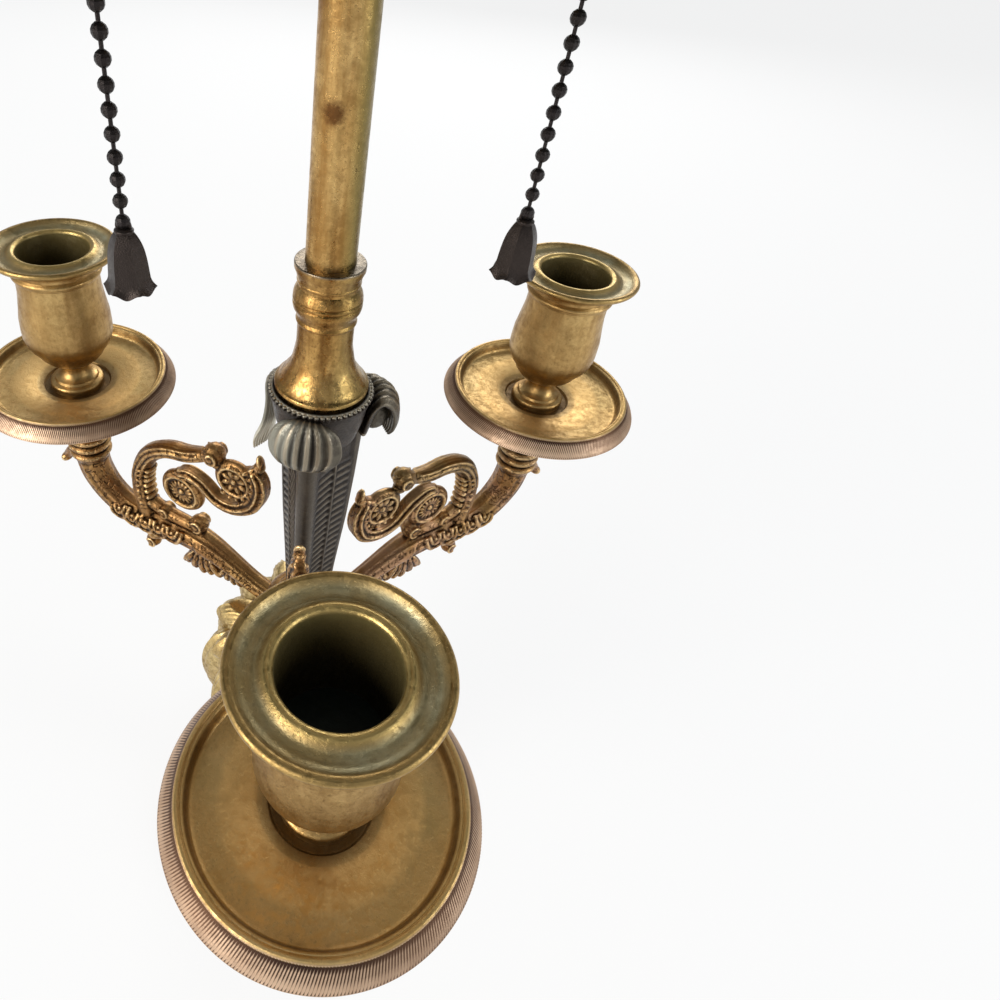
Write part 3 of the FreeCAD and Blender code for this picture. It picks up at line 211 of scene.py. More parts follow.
def rounded(outline, step=14.0):
    """The points of a closed outline in millimetres. An entry (x, y, bulge) is reached by an arc:
    bulge is the tangent of a quarter of its angle, positive where it turns left."""
    points = []
    for i, entry in enumerate(outline):
        x, y = entry[0], entry[1]
        bulge = entry[2] if len(entry) > 2 else 0.0
        if bulge and i:
            ax, ay = outline[i - 1][0], outline[i - 1][1]
            whole = 4.0 * math.atan(bulge)
            count = max(2, math.ceil(abs(math.degrees(whole)) / step))
            off = (1.0 - bulge * bulge) / (4.0 * bulge)
            cx = (ax + x) / 2.0 - (y - ay) * off
            cy = (ay + y) / 2.0 + (x - ax) * off
            start = math.atan2(ay - cy, ax - cx)
            radius = math.hypot(ax - cx, ay - cy)
            for k in range(1, count):
                angle = start + whole * k / count
                points.append((cx + radius * math.cos(angle), cy + radius * math.sin(angle)))
        points.append((x, y))
    return points


def lathe(outline, sides=96, at=(0.0, 0.0, 0.0), angle=32.0):
    """Turns a closed outline of (radius, height) about an upright axis, a ring at a time."""
    points = rounded(outline)
    points.append(points[0])
    points = [(max(r, 0.002), z) for r, z in points]
    clear()
    bpy.ops.mesh.primitive_circle_add(vertices=sides, radius=points[0][0] * MM, fill_type="NOTHING",
                                      location=(0, 0, 0), enter_editmode=True)
    bpy.ops.transform.translate(value=(0, 0, points[0][1] * MM))
    for (r0, z0), (r1, z1) in zip(points, points[1:]):
        bpy.ops.mesh.extrude_edges_move(TRANSFORM_OT_translate={"value": (0, 0, (z1 - z0) * MM)})
        if abs(r1 - r0) > 0.00001:
            bpy.ops.transform.resize(value=(r1 / r0, r1 / r0, 1.0), center_override=(0, 0, z1 * MM))
    bpy.ops.mesh.select_all(action="SELECT")
    bpy.ops.transform.translate(value=tuple(c * MM for c in at))
    return round_off(bpy.context.object, angle)


def knob(centre, radii, lean=0.0, swing=0.0, detail=2):
    """An egg-shaped knob; lean turns it in its upright plane and swing about the upright axis, in degrees."""
    clear()
    bpy.ops.mesh.primitive_ico_sphere_add(subdivisions=detail, radius=1.0, location=(0, 0, 0))
    piece = bpy.context.object
    piece.scale = tuple(r * MM for r in radii)
    piece.rotation_euler = (0.0, math.radians(lean), math.radians(swing))
    piece.location = tuple(c * MM for c in centre)
    return settle(piece)


def joined(pieces):
    pick(*pieces)
    bpy.ops.object.join()
    return bpy.context.object


def ring_of(piece, count):
    """Repeats a piece round an upright axis."""
    pick(piece)
    bpy.ops.object.mode_set(mode="EDIT")
    bpy.ops.mesh.select_all(action="SELECT")
    bpy.ops.mesh.spin(steps=count, dupli=True, angle=math.tau, center=(0, 0, 0), axis=(0, 0, 1))
    bpy.ops.mesh.select_all(action="SELECT")
    bpy.ops.mesh.remove_doubles(threshold=0.000001)
    bpy.ops.object.mode_set(mode="OBJECT")
    return piece


def cast_skin(piece, grain, smooth=2, factor=0.5):
    """Fuses overlapping pieces into one casting of a given grain in millimetres, and softens it."""
    pick(piece)
    remesh = piece.modifiers.new("fuse", "REMESH")
    remesh.mode = "VOXEL"
    remesh.voxel_size = grain * MM
    bpy.ops.object.modifier_apply(modifier=remesh.name)
    soften = piece.modifiers.new("soften", "SMOOTH")
    soften.iterations = smooth
    soften.factor = factor
    bpy.ops.object.modifier_apply(modifier=soften.name)
    bpy.ops.object.shade_smooth()
    return piece


def mark_relief(piece, rounds=10):
    """Stores at each point how far it stands out of its surroundings, in millimetres, for the finishes."""
    mesh = piece.data
    count = len(mesh.vertices)
    spots = np.empty(count * 3)
    facing = np.empty(count * 3)
    ends = np.empty(len(mesh.edges) * 2, dtype=np.int64)
    mesh.vertices.foreach_get("co", spots)
    mesh.vertices.foreach_get("normal", facing)
    mesh.edges.foreach_get("vertices", ends)
    spots, facing, ends = spots.reshape(-1, 3), facing.reshape(-1, 3), ends.reshape(-1, 2)
    shares = np.maximum(np.bincount(ends.ravel(), minlength=count), 1)
    soft = spots.copy()
    for _ in range(rounds):
        for axis in range(3):
            near = np.bincount(ends[:, 0], soft[ends[:, 1], axis], count)
            near += np.bincount(ends[:, 1], soft[ends[:, 0], axis], count)
            soft[:, axis] = 0.5 * soft[:, axis] + 0.5 * near / shares
    height = ((spots - soft) * facing).sum(axis=1) / MM
    mesh.attributes.new("relief", "FLOAT", "POINT").data.foreach_set("value", height.astype(np.float32))
    return piece


# What the pieces are made of
def aged_brass(name, pale, mid, dark, centre=(0.0, 0.0), rough=0.36, spots=0.5, grain=0.035):
    """Brass with a worn, speckled patina. The colours are its worn, usual and darkest tones."""
    finish = Finish(name, Metallic=1.0)
    where = finish.place((centre[0], centre[1], 0.0))
    broad = finish.noise(where, 0.045, 5.0, 0.6, 0.35, 0.68)
    fine = finish.noise(where, 0.42, 6.0, 0.68, 0.42, 0.66)
    specks = finish.noise(where, 1.3, 4.0, 0.7, 0.56, 0.66)
    colour = finish.blend(broad, mid, pale)
    colour = finish.blend(fine * spots, colour, dark)
    colour = finish.blend(specks * (0.7 * spots), colour, tuple(c * 0.45 for c in dark[:3]) + (1.0,))
    shine = finish.spread(fine, 0.0, 1.0, rough - 0.06, rough + 0.16)
    finish.dress(Base_Color=colour, Roughness=shine, Normal=finish.bump(fine + specks * 0.6, grain))
    finish.where = where
    finish.colour = colour
    return finish


def cup_brass(name, centre):
    """A candle cup: tan brass with upright streaks, a mottled grey-green dish and a bore darkened with
    painted shade, olive near its top and nearly black deeper down.
    """
    finish = aged_brass(name, paint(206, 174, 116), paint(168, 132, 80), paint(116, 88, 50), centre, 0.36,
                        0.4)
    _, _, z, r = finish.parts_of(finish.where)
    streaks = finish.noise(finish.place((centre[0], centre[1], 0.0), size=(1.0, 1.0, 0.08)), 0.33, 5.0, 0.6,
                           0.4, 0.7)
    colour = finish.blend(streaks * 0.5, finish.colour, paint(126, 92, 48))
    top = finish.spread(z, PAN + 48.4, PAN + 50.0)
    dish = finish.spread(r, 13.4, 14.6) * finish.spread(r, 18.7, 17.4) * top
    mottle = finish.noise(finish.where, 0.14, 6.0, 0.7, 0.36, 0.64)
    side = finish.noise(finish.where, 0.045, 3.0, 0.5, 0.40, 0.62)
    grey = finish.blend(mottle, paint(182, 180, 150), paint(134, 132, 104))
    worn = finish.blend(side, paint(160, 138, 90), grey)
    specks = finish.noise(finish.where, 0.7, 5.0, 0.75, 0.54, 0.68)
    worn = finish.blend(specks * 0.5, worn, paint(96, 98, 78))
    colour = finish.blend(top * 0.85, colour, paint(168, 140, 88))
    colour = finish.blend(dish * 0.9, colour, worn)
    colour = finish.blend(finish.spread(r, 13.9, 13.0) * top * 0.85, colour, paint(190, 164, 104))
    rim_spots = finish.noise(finish.where, 0.5, 5.0, 0.7, 0.5, 0.66) * finish.spread(r, 18.0, 19.0) * top
    colour = finish.blend(rim_spots * 0.5, colour, paint(112, 90, 52))
    # painted shade in the bore: olive near the top, nearly black deeper down
    bore = finish.spread(r, 11.5, 11.2) * finish.spread(z, PAN + 20.0, PAN + 24.0)
    deep = finish.spread(z, PAN + 50.0, PAN + 34.0)
    colour = finish.blend(bore, colour, finish.blend(deep, paint(96, 88, 52), paint(26, 36, 26)))
    finish.dress(Base_Color=colour, Metallic=finish.spread(bore + dish * 0.4, 0.0, 1.0, 1.0, 0.35))
    return finish


def pan_brass(name, centre):
    """A drip pan: speckled tan floor and a milled band whose ribs get a pinkish painted highlight on their
    crests and painted shade between them; painted shade also darkens the ring groove and a ring round the
    cup's foot.
    """
    finish = aged_brass(name, paint(220, 188, 130), paint(200, 164, 104), paint(158, 124, 74), centre, 0.46,
                        0.4)
    _, _, _, r = finish.parts_of(finish.where)
    olive = finish.noise(finish.where, 0.07, 4.0, 0.6, 0.45, 0.7)
    colour = finish.blend(olive * 0.5, finish.colour, paint(176, 152, 98))
    band = finish.spread(r, 31.0, 31.4)
    # painted light on the ribs: a pinkish painted highlight where they stand out, dark painted shade between
    # them
    rib = finish.blend(finish.relief(-0.05, 0.05), paint(58, 38, 28), paint(222, 190, 160))
    tone = finish.noise(finish.where, 0.05, 4.0, 0.6, 0.35, 0.65)
    rib = finish.blend(tone * 0.5, rib, paint(120, 86, 62))
    colour = finish.blend(band, colour, rib)
    # painted shade in the ring groove
    painted_groove_shade = finish.spread(r, 27.9, 28.5) * finish.spread(r, 29.4, 29.0)
    colour = finish.blend(painted_groove_shade * 0.7, colour, paint(84, 62, 34))
    # painted highlight on the raised crest at the band's inner edge
    colour = finish.blend(finish.relief(0.05, 0.16) * finish.spread(r, 31.4, 30.9) * 0.6, colour,
                          paint(226, 186, 120))
    # painted shadow round the cup's foot, where it stands in the pan's hole
    painted_foot_shadow = finish.spread(r, 15.0, 10.5)
    colour = finish.blend(painted_foot_shadow * 0.85, colour, paint(50, 28, 12))
    finish.dress(Base_Color=colour, Metallic=finish.spread(band, 0.0, 1.0, 1.0, 0.8))
    return finish


def plain(name, colour, rough=0.5, metal=0.0, grain=0.0, scale=0.8, coat=0.0):
    """A plainer finish with a little unevenness in its colour and gloss."""
    finish = Finish(name, Metallic=metal, Coat_Weight=coat)
    where = finish.place()
    cloud = finish.noise(where, scale, 5.0, 0.6)
    darker = tuple(c * 0.72 for c in colour[:3]) + (1.0,)
    finish.dress(Base_Color=finish.blend(cloud * 0.6, colour, darker),
                 Roughness=finish.spread(cloud, 0.0, 1.0, rough - 0.05, rough + 0.08))
    if grain:
        finish.dress(Normal=finish.bump(finish.noise(where, scale * 4.0, 3.0), grain))
    return finish


def stem_brass():
    """The stem's tube: gilding worn to greenish brass in long upright patches, with its right side darkened
    to olive as painted shade.
    """
    finish = aged_brass("stem brass", paint(222, 186, 122), paint(184, 144, 84), paint(120, 86, 44), (0, 0),
                        0.3, 0.45)
    long_patches = finish.noise(finish.place(size=(1.0, 1.0, 0.10)), 0.16, 6.0, 0.66, 0.42, 0.64)
    x, _, _, _ = finish.parts_of(finish.where)
    # painted shade: the side towards +x is darkened to olive
    side = finish.spread(x, 1.0, 4.6)
    colour = finish.blend(long_patches * 0.7, finish.colour, paint(136, 92, 40))
    colour = finish.blend(side * 0.75, colour, paint(120, 112, 66))
    spot = finish.make("VectorMath", {"operation": "DISTANCE"}, finish.where, (-2.2, -6.1, PAN + 112.5),
                       out=1)
    ragged = finish.noise(finish.where, 0.9, 4.0, 0.7, 0.2, 0.8)
    stain = finish.spread(spot + ragged * 2.0, 4.4, 2.4)
    colour = finish.blend(stain * 0.85, colour, paint(84, 48, 24))
    finish.dress(Base_Color=colour)
    return finish


def collar_brass():
    """The collar: gold brown with long upright streaks, rusty flecks and a greenish side that is painted
    shade.
    """
    finish = aged_brass("collar brass", paint(218, 180, 114), paint(178, 136, 76), paint(104, 72, 34), (0, 0),
                        0.28, 0.55)
    streaks = finish.noise(finish.place(size=(1.0, 1.0, 0.06)), 0.42, 5.0, 0.6, 0.42, 0.62)
    x, _, z, _ = finish.parts_of(finish.where)
    colour = finish.blend(streaks * 0.6, finish.colour, paint(116, 80, 40))
    # painted shade: the side towards +x turns greenish and darker
    colour = finish.blend(finish.spread(x, 0.5, 5.0) * 0.55, colour, paint(124, 110, 66))
    rust = finish.noise(finish.where, 0.8, 5.0, 0.7, 0.55, 0.68)
    colour = finish.blend(rust * 0.6, colour, paint(96, 60, 30))
    grey = finish.spread(z, PAN + 75.2, PAN + 75.8)
    colour = finish.blend(grey * 0.85, colour, paint(120, 112, 100))
    finish.dress(Base_Color=colour)
    return finish


def shaft_bronze():
    """Dark bronze, nearly black in its recesses from patina and painted shade, and grey-brown on its edges
    from wear and painted highlight; the leaves' left side is paler with painted light, and one leaf's tip is
    pale.
    """
    finish = Finish("shaft bronze", Metallic=0.8)
    where = finish.place()
    cloud = finish.noise(where, 0.35, 6.0, 0.65, 0.4, 0.7)
    fine = finish.noise(where, 1.6, 4.0, 0.7, 0.45, 0.68)
    x, _, z, r = finish.parts_of(where)
    leafy = finish.spread(r, 15.0, 17.5)
    # pale raised edges: partly wear, partly painted highlight; dark recesses: partly patina, partly painted
    # shade
    worn_and_highlit_edges = finish.relief(0.03, 0.16)
    dark_patina_and_shade = finish.relief(0.0, -0.12)
    base = finish.blend(cloud, paint(40, 33, 28), paint(62, 53, 45))
    leaf = finish.blend(cloud, paint(98, 92, 80), paint(70, 64, 56))
    # painted light: the leaves' left side is paler
    left = finish.spread(x, -2.5, -9.0) * leafy
    pearls = finish.spread(z, PAN + 36.9, PAN + 37.2) * finish.spread(r, 13.7, 14.0)
    colour = finish.blend(leafy, base, leaf)
    colour = finish.blend(left * 0.65, colour, paint(164, 162, 148))
    colour = finish.blend(pearls * 0.8, colour, paint(176, 168, 150))
    colour = finish.blend(worn_and_highlit_edges * 0.75, colour, paint(154, 142, 122))
    colour = finish.blend(dark_patina_and_shade * 0.9, colour, paint(18, 14, 12))
    tip = finish.make("VectorMath", {"operation": "DISTANCE"}, where, (-17.4, 17.4, PAN + 3.0), out=1)
    colour = finish.blend(finish.spread(tip, 12.0, 8.0) * 0.85, colour, paint(222, 218, 200))
    finish.dress(Base_Color=colour, Roughness=finish.spread(fine, 0.0, 1.0, 0.32, 0.5),
                 Normal=finish.bump(fine, 0.04))
    return finish


def arm_gilding():
    """Cast brass: pale gold on raised edges from wear and painted highlight, brown flats, and crevices nearly
    black from patina and painted shade.
    """
    finish = Finish("arm gilding", Metallic=1.0)
    where = finish.place()
    broad = finish.noise(where, 0.05, 4.0, 0.6, 0.35, 0.65)
    cloud = finish.noise(where, 0.5, 6.0, 0.68, 0.38, 0.68)
    fine = finish.noise(where, 1.8, 4.0, 0.7, 0.42, 0.66)
    x, _, z, _ = finish.parts_of(where)
    # dark crevices: partly patina, partly painted shade; pale raised edges: partly wear, partly painted
    # highlight
    dark_patina_and_shade = finish.relief(0.03, -0.09)
    worn = finish.relief(0.09, 0.22)
    shape = finish.nodes.new("ShaderNodeNewGeometry")
    facing = finish.nodes.new("ShaderNodeSeparateXYZ")
    finish.links.new(shape.outputs["Normal"], facing.inputs[0])
    carved = finish.make("TexNoise", {}, where, Scale=0.34, Detail=2.0, Roughness=0.5, Distortion=0.6) - 0.5
    carved = finish.spread(finish.make("Math", {"operation": "ABSOLUTE"}, carved), 0.004, 0.05)
    smooth_top = finish.spread(Sock(finish, facing.outputs[2]), 0.55, 0.85)
    carved = finish.make("Math", {"operation": "MAXIMUM"}, carved, smooth_top)
    colour = finish.blend(broad, paint(186, 146, 92), paint(160, 116, 74))
    colour = finish.blend(cloud * 0.6, colour, paint(112, 78, 44))
    rosy = finish.spread(x, 4.0, 24.0) * finish.noise(where, 0.09, 3.0, 0.5, 0.4, 0.6)
    colour = finish.blend(rosy * 0.5, colour, paint(196, 156, 128))
    olive = finish.spread(x, 20.0, 30.0) * finish.spread(z, PAN - 36.0, PAN - 24.0)
    colour = finish.blend(olive * 0.6, colour, paint(126, 108, 70))
    colour = finish.blend((1.0 - carved) * 0.75, colour, paint(46, 26, 12))
    # pale gold on raised edges is wear with a painted highlight; the crevices after it are patina with
    # painted shade
    colour = finish.blend(worn * 0.8, colour, paint(240, 206, 150))
    colour = finish.blend(dark_patina_and_shade * 0.94, colour, paint(28, 15, 7))
    relief = finish.bump(carved, 0.3, finish.bump(cloud * 0.4 + fine * 0.6, 0.05))
    finish.dress(Base_Color=colour, Roughness=finish.spread(cloud, 0.0, 1.0, 0.28, 0.46), Normal=relief)
    return finish


gilding = arm_gilding()
bronze = shaft_bronze()
stem_gold = stem_brass()
collar_gold = collar_brass()
turned_gold = aged_brass("foot brass", paint(206, 164, 96), paint(170, 124, 64), paint(98, 68, 34), (0, 0),
                         0.34, 0.5)
urn_gold = aged_brass("urn brass", paint(214, 190, 134), paint(184, 154, 98), paint(98, 76, 42), (0, 0), 0.38,
                      0.55)
fitting_gold = aged_brass("fitting brass", paint(214, 176, 104), paint(186, 146, 78), paint(128, 96, 50),
                          (0, 0), 0.3, 0.3, 0.1)
baize = plain("green baize", paint(40, 58, 38), 0.95, 0.0, 0.3, 1.4)
raw_iron = plain("raw iron", paint(58, 56, 54), 0.7, 0.9, 0.3)
zinc = plain("zinc plate", paint(176, 176, 174), 0.34, 1.0, 0.05)
rubber = plain("black rubber", paint(26, 26, 26), 0.75)
insulator = plain("black insulator", paint(30, 27, 26), 0.3, 0.0, 0.0, 0.2)
fibre = plain("fibre board", paint(150, 128, 98), 0.85, 0.0, 0.1, 1.2)
bright_contact = plain("bright contact", paint(206, 204, 198), 0.3, 1.0)
chain_black = plain("chain patina", paint(50, 45, 44), 0.36, 0.85, 0.05, 1.0)

bell_patina = plain("bell patina", paint(62, 54, 50), 0.34, 0.85, 0.05, 0.8)


def shade_paint():
    """Dark green paint outside with a gold line near each edge, and cream enamel inside."""
    finish = Finish("shade paint", Coat_Weight=0.15)
    where = finish.place()
    _, _, z, r = finish.parts_of(where)
    skin = r - (160.0 - (z - (PAN + 172.0)) * 0.2632)
    inside = finish.spread(skin, -0.25, -0.55)
    cloud = finish.noise(where, 0.03, 5.0, 0.6)
    green = finish.blend(cloud * 0.5, paint(28, 52, 38), paint(20, 38, 28))
    line = finish.spread(z, PAN + 176.0, PAN + 176.3) * finish.spread(z, PAN + 178.3, PAN + 178.0)
    line = line + finish.spread(z, PAN + 294.0, PAN + 294.3) * finish.spread(z, PAN + 296.3, PAN + 296.0)
    colour = finish.blend(line, green, paint(178, 142, 70))
    colour = finish.blend(inside, colour, paint(226, 218, 198))
    finish.dress(Base_Color=colour, Roughness=finish.spread(cloud, 0.0, 1.0, 0.34, 0.46))
    return finish


shade_green = shade_paint()


# Turned pieces
MILL_SLANT = 0.045      # how far the ribs lean over the band's height, in radians


def mill(piece, centre, sides, inner, outer, low, high, depth):
    """Cuts fine ribs into a band by pushing in every second column of its points."""
    pick(piece)
    bpy.ops.object.mode_set(mode="EDIT")
    bpy.ops.mesh.select_all(action="DESELECT")
    bpy.ops.object.mode_set(mode="OBJECT")
    bpy.context.tool_settings.mesh_select_mode = (True, False, False)
    for vertex in piece.data.vertices:
        x, y = vertex.co.x / MM - centre[0], vertex.co.y / MM - centre[1]
        radius, height = math.hypot(x, y), vertex.co.z / MM
        column = round(math.atan2(y, x) / math.tau * sides)
        banded = inner < radius < outer and low < height < high
        vertex.select = banded and column % 2 == 0
        if banded:
            slant = MILL_SLANT * (height - low) / (high - low)
            vertex.co.x = (centre[0] + x * math.cos(slant) - y * math.sin(slant)) * MM
            vertex.co.y = (centre[1] + x * math.sin(slant) + y * math.cos(slant)) * MM
    bpy.ops.object.mode_set(mode="EDIT")
    bpy.ops.transform.shrink_fatten(value=-depth * MM)
    bpy.ops.object.mode_set(mode="OBJECT")
    return piece


PAN_SIDES = 640
PAN_OUTLINE = [
    (2.6, -3.0), (11.4, -3.0), (14.4, -1.2), (27.3, -1.2), (29.7, 1.2, 0.15), (31.1, 1.8), (33.4, -1.5),
    (34.3, -1.5), (34.7, -0.9, 0.3), (34.3, 0.0), (33.3, 1.3), (32.3, 2.6), (31.4, 3.8), (31.1, 4.3, 0.3),
    (30.7, 4.5, 0.3), (30.1, 4.35, 0.3), (29.8, 3.95, -0.4), (29.4, 4.0, 0.4), (28.9, 3.4, 0.2), (28.4, 2.2),
    (27.9, 1.0, -0.2), (27.1, 0.7, -0.1), (22.0, 0.75), (15.2, 0.5), (11.6, -0.6, -0.12), (11.0, -1.4),
    (2.6, -1.4)]
CUP_OUTLINE = [
    (2.6, -1.4), (9.2, -1.4), (9.2, 0.2), (8.4, 1.2, 0.3), (7.6, 1.6), (7.2, 2.4), (4.4, 6.4, -0.3),
    (4.4, 7.6),
    (6.0, 8.6, 0.4), (11.9, 14.6, 0.2), (14.9, 23.0, 0.22), (14.0, 32.0, 0.06), (13.1, 42.2, -0.05),
    (13.9, 42.9, 0.5), (13.9, 44.4, 0.5), (13.4, 45.0), (14.3, 47.2, -0.15), (18.75, 49.6, -0.22),
    (20.15, 50.6, 0.35), (20.1, 51.4, 0.3), (19.3, 51.8, 0.3), (18.5, 51.5, 0.15), (17.3, 50.2, -0.12),
    (15.6, 49.7, -0.12), (14.3, 50.1, -0.1), (13.2, 51.0, 0.12), (12.4, 51.2, 0.2), (11.6, 50.8, 0.15),
    (11.25, 50.0, 0.15), (11.25, 25.0), (0.0, 25.0),
    (0.0, 8.5), (2.6, 8.5)]
for name, turn in CUPS.items():
    spot = polar(REACH, turn, PAN)
    pan = lathe(PAN_OUTLINE, PAN_SIDES, spot, 24.0)
    mill(pan, spot, PAN_SIDES, 31.0, 34.8, PAN - 1.0, PAN + 4.1, 0.2)
    mark_relief(pan, 4)
    finished(pan, "pan_milled_" + name, pan_brass("pan brass " + name, spot), node="pan_" + name)
    cup = lathe(CUP_OUTLINE, 160, spot)
    finished(cup, "cup_turned_" + name, cup_brass("cup brass " + name, spot), node="cup_" + name)

collar = lathe([
    (4.95, 34.5), (12.7, 34.5), (13.2, 38.4), (13.3, 39.2, 0.3), (12.9, 39.8, 0.3), (12.4, 40.2),
    (11.0, 42.4, -0.12),
    (8.3, 48.4, -0.16), (7.6, 56.0, -0.08), (7.65, 58.8), (8.0, 59.1, 0.4), (8.0, 59.9, 0.4), (7.8, 60.4),
    (8.9, 63.0, -0.12), (9.15, 64.6, 0.1), (8.85, 65.0), (9.15, 65.4), (9.15, 65.9), (8.85, 66.3),
    (9.1, 66.7),
    (8.4, 68.8, 0.12), (7.9, 69.4), (7.9, 70.2), (8.2, 70.5, 0.3), (8.2, 71.2, 0.3), (9.1, 74.3, -0.12),
    (9.15, 75.4), (8.9, 76.0, 0.3), (6.5, 76.0), (6.5, 62.0), (4.95, 62.0)], 128, (0, 0, PAN))
finished(collar, "collar_turned", collar_gold, node="collar")
stem = lathe([(5.55, 62.0), (6.45, 62.0), (6.45, 139.0), (5.55, 139.0)], 96, (0, 0, PAN))
finished(stem, "stem_round", stem_gold, node="stem_tube")
foot = lathe([
    (4.95, 24.0), (32.5, 24.0), (57.5, 11.0), (57.5, 1.5), (62.0, 1.5), (62.0, 7.0), (58.0, 11.5, 0.4),
    (56.0, 12.5),
    (56.0, 15.0), (53.0, 17.0, 0.3), (30.0, 31.0, -0.22), (26.0, 34.0), (26.0, 37.0), (14.0, 58.0, -0.3),
    (14.0, 60.0), (14.0, 66.0, 0.75), (12.0, 68.0), (10.5, 73.0), (4.95, 73.0)], 128)
finished(foot, "foot_turned", turned_gold, node="base_foot")

# Cast pieces
def bars(paths, sides=10, steps=5):
    """Several bars as one piece. A path is a row of (x, y, z, radius), a ring if it ends where it starts."""
    curve = bpy.data.curves.new("bars", "CURVE")
    curve.dimensions = "3D"
    curve.bevel_depth = MM
    curve.bevel_resolution = max(0, sides // 2 - 2)
    curve.resolution_u = steps
    curve.use_fill_caps = True
    for path in paths:
        ring = len(path) > 3 and path[0][:3] == path[-1][:3]
        rows = path[:-1] if ring else path
        spline = curve.splines.new("BEZIER")
        spline.bezier_points.add(len(rows) - 1)
        spline.use_cyclic_u = ring
        for point, (x, y, z, radius) in zip(spline.bezier_points, rows):
            point.co = (x * MM, y * MM, z * MM)
            point.radius = radius
            point.handle_left_type = point.handle_right_type = "AUTO"
    piece = bpy.data.objects.new("bars", curve)
    bpy.context.collection.objects.link(piece)
    pick(piece)
    bpy.ops.object.convert(target="MESH")
    return bpy.context.object


def skin(rings, angle=40.0):
    """A closed skin through rings of points in millimetres, with its first and last ring filled."""
    count = len(rings[0])
    points = [tuple(c * MM for c in point) for ring in rings for point in ring]
    faces = [(i * count + k, i * count + (k + 1) % count, (i + 1) * count + (k + 1) % count,
              (i + 1) * count + k)
             for i in range(len(rings) - 1) for k in range(count)]
    faces.append(tuple(range(count)))
    faces.append(tuple((len(rings) - 1) * count + k for k in range(count)))
    mesh = bpy.data.meshes.new("skin")
    mesh.from_pydata(points, [], faces)
    piece = bpy.data.objects.new("skin", mesh)
    bpy.context.collection.objects.link(piece)
    return round_off(piece, angle)


def row_at(table, level):
    """A table's row at a value of its first column, straight between its rows."""
    for low, high in zip(table, table[1:]):
        if level <= high[0]:
            break
    share = min(max((level - low[0]) / (high[0] - low[0]), 0.0), 1.0)
    return tuple(a + share * (b - a) for a, b in zip(low, high))


def eased(rows, steps):
    """Points on a smooth line through rows of numbers, with a number of steps between two rows."""
    ends = [tuple(2 * a - b for a, b in zip(rows[0], rows[1]))] + list(rows)
    ends.append(tuple(2 * a - b for a, b in zip(rows[-1], rows[-2])))
    line = []
    for before, here, there, after in zip(ends, ends[1:], ends[2:], ends[3:]):
        for k in range(steps):
            t = k / steps
            line.append(tuple(0.5 * (2 * b + (c - a) * t + (2 * a - 5 * b + 4 * c - d) * t * t
                                     + (3 * b - a - 3 * c + d) * t ** 3)
                              for a, b, c, d in zip(before, here, there, after)))
    line.append(tuple(rows[-1]))
    return line


LIMB = ((13, -70, 4.0), (22, -67, 4.0), (30, -63.2, 4.2), (38, -59.6, 4.8), (46, -57.2, 5.4),
        (55, -56.6, 5.5),
        (64, -57.4, 5.6), (73, -58.4, 5.6), (82, -57, 5.6), (90, -52, 5.8), (95.4, -44.5, 6.2),
        (97.4, -36, 6.4))
C_SCROLL = ((71, -54, 4.2), (72.4, -45, 4.2), (72.6, -36, 4.0), (70.6, -28, 3.8), (65.5, -20.8, 3.6),
            (57.5, -17.2, 3.4), (49, -16.6, 3.2), (41, -14.2, 2.6))
SIDE_STEM = ((45, -50.5, 2.4), (54, -50.2, 2.8), (62.5, -49.4, 2.9), (71, -46.5, 2.9))
S_STRAP = ((55, -27.4, 2.4), (49.5, -26, 2.9), (43.6, -28.6, 3.0), (37.2, -34.4, 3.0), (30, -35.6, 3.0),
           (22.8, -31.4, 3.3), (19.8, -24.4, 3.4), (20.2, -18.4, 3.1), (23.4, -14.0, 2.3))
SPUR = ((101.5, -37, 3.0), (107.5, -39.6, 2.6), (111.6, -43.6, 1.6))
ROSETTES = ((53, -35.5, 7.2, 2.1, 16), (29.6, -22, 6.4, 2.0, 8))
SCROLL_BUDS = ((38.2, -12.6, 4.2), (37, -16.4, 2.6), (20.2, -13.0, 2.2))
LIMB_BUDS = ((46.6, -47.4, 3.9), (62.4, -49, 3.3), (70.6, -70.5, 3.3), (69, -64.5, 4.0))
ARM_LEAVES = ((45.5, -66, 8.5, 3.6, 10), (31, -67, 7, 3.2, 6.5))
ARM_SOCKET = [(0.0, -38.0), (5.6, -38.0), (6.9, -35.6), (6.6, -35.0), (7.6, -34.2, 0.4), (7.6, -32.4, 0.5),
              (6.6, -31.8), (6.6, -31.0), (7.7, -30.4, 0.4), (7.7, -28.6, 0.5), (6.7, -28.0), (6.7, -27.2),
              (7.8, -26.6, 0.4), (7.8, -24.8, 0.5), (6.9, -24.2), (6.9, -22.0), (7.5, -21.0), (7.5, -3.0),
              (0.0, -3.0)]
SCROLL_FOOT = 71.0     # where the scroll leaves the limb, measured from the stem
SCROLL_REACH = 45.0
SCROLL_LIFTS = {"front": 0.0, "right": -5.5, "left": 7.0}
SCROLL_SWAYS = {"front": -3.6}     # the front scroll leans to one side


def raised(x, z, lift):
    """The height of a point of the scroll on an arm whose scroll is bent up by a lift."""
    return PAN + z + lift * max(SCROLL_FOOT - x, 0.0) / SCROLL_REACH


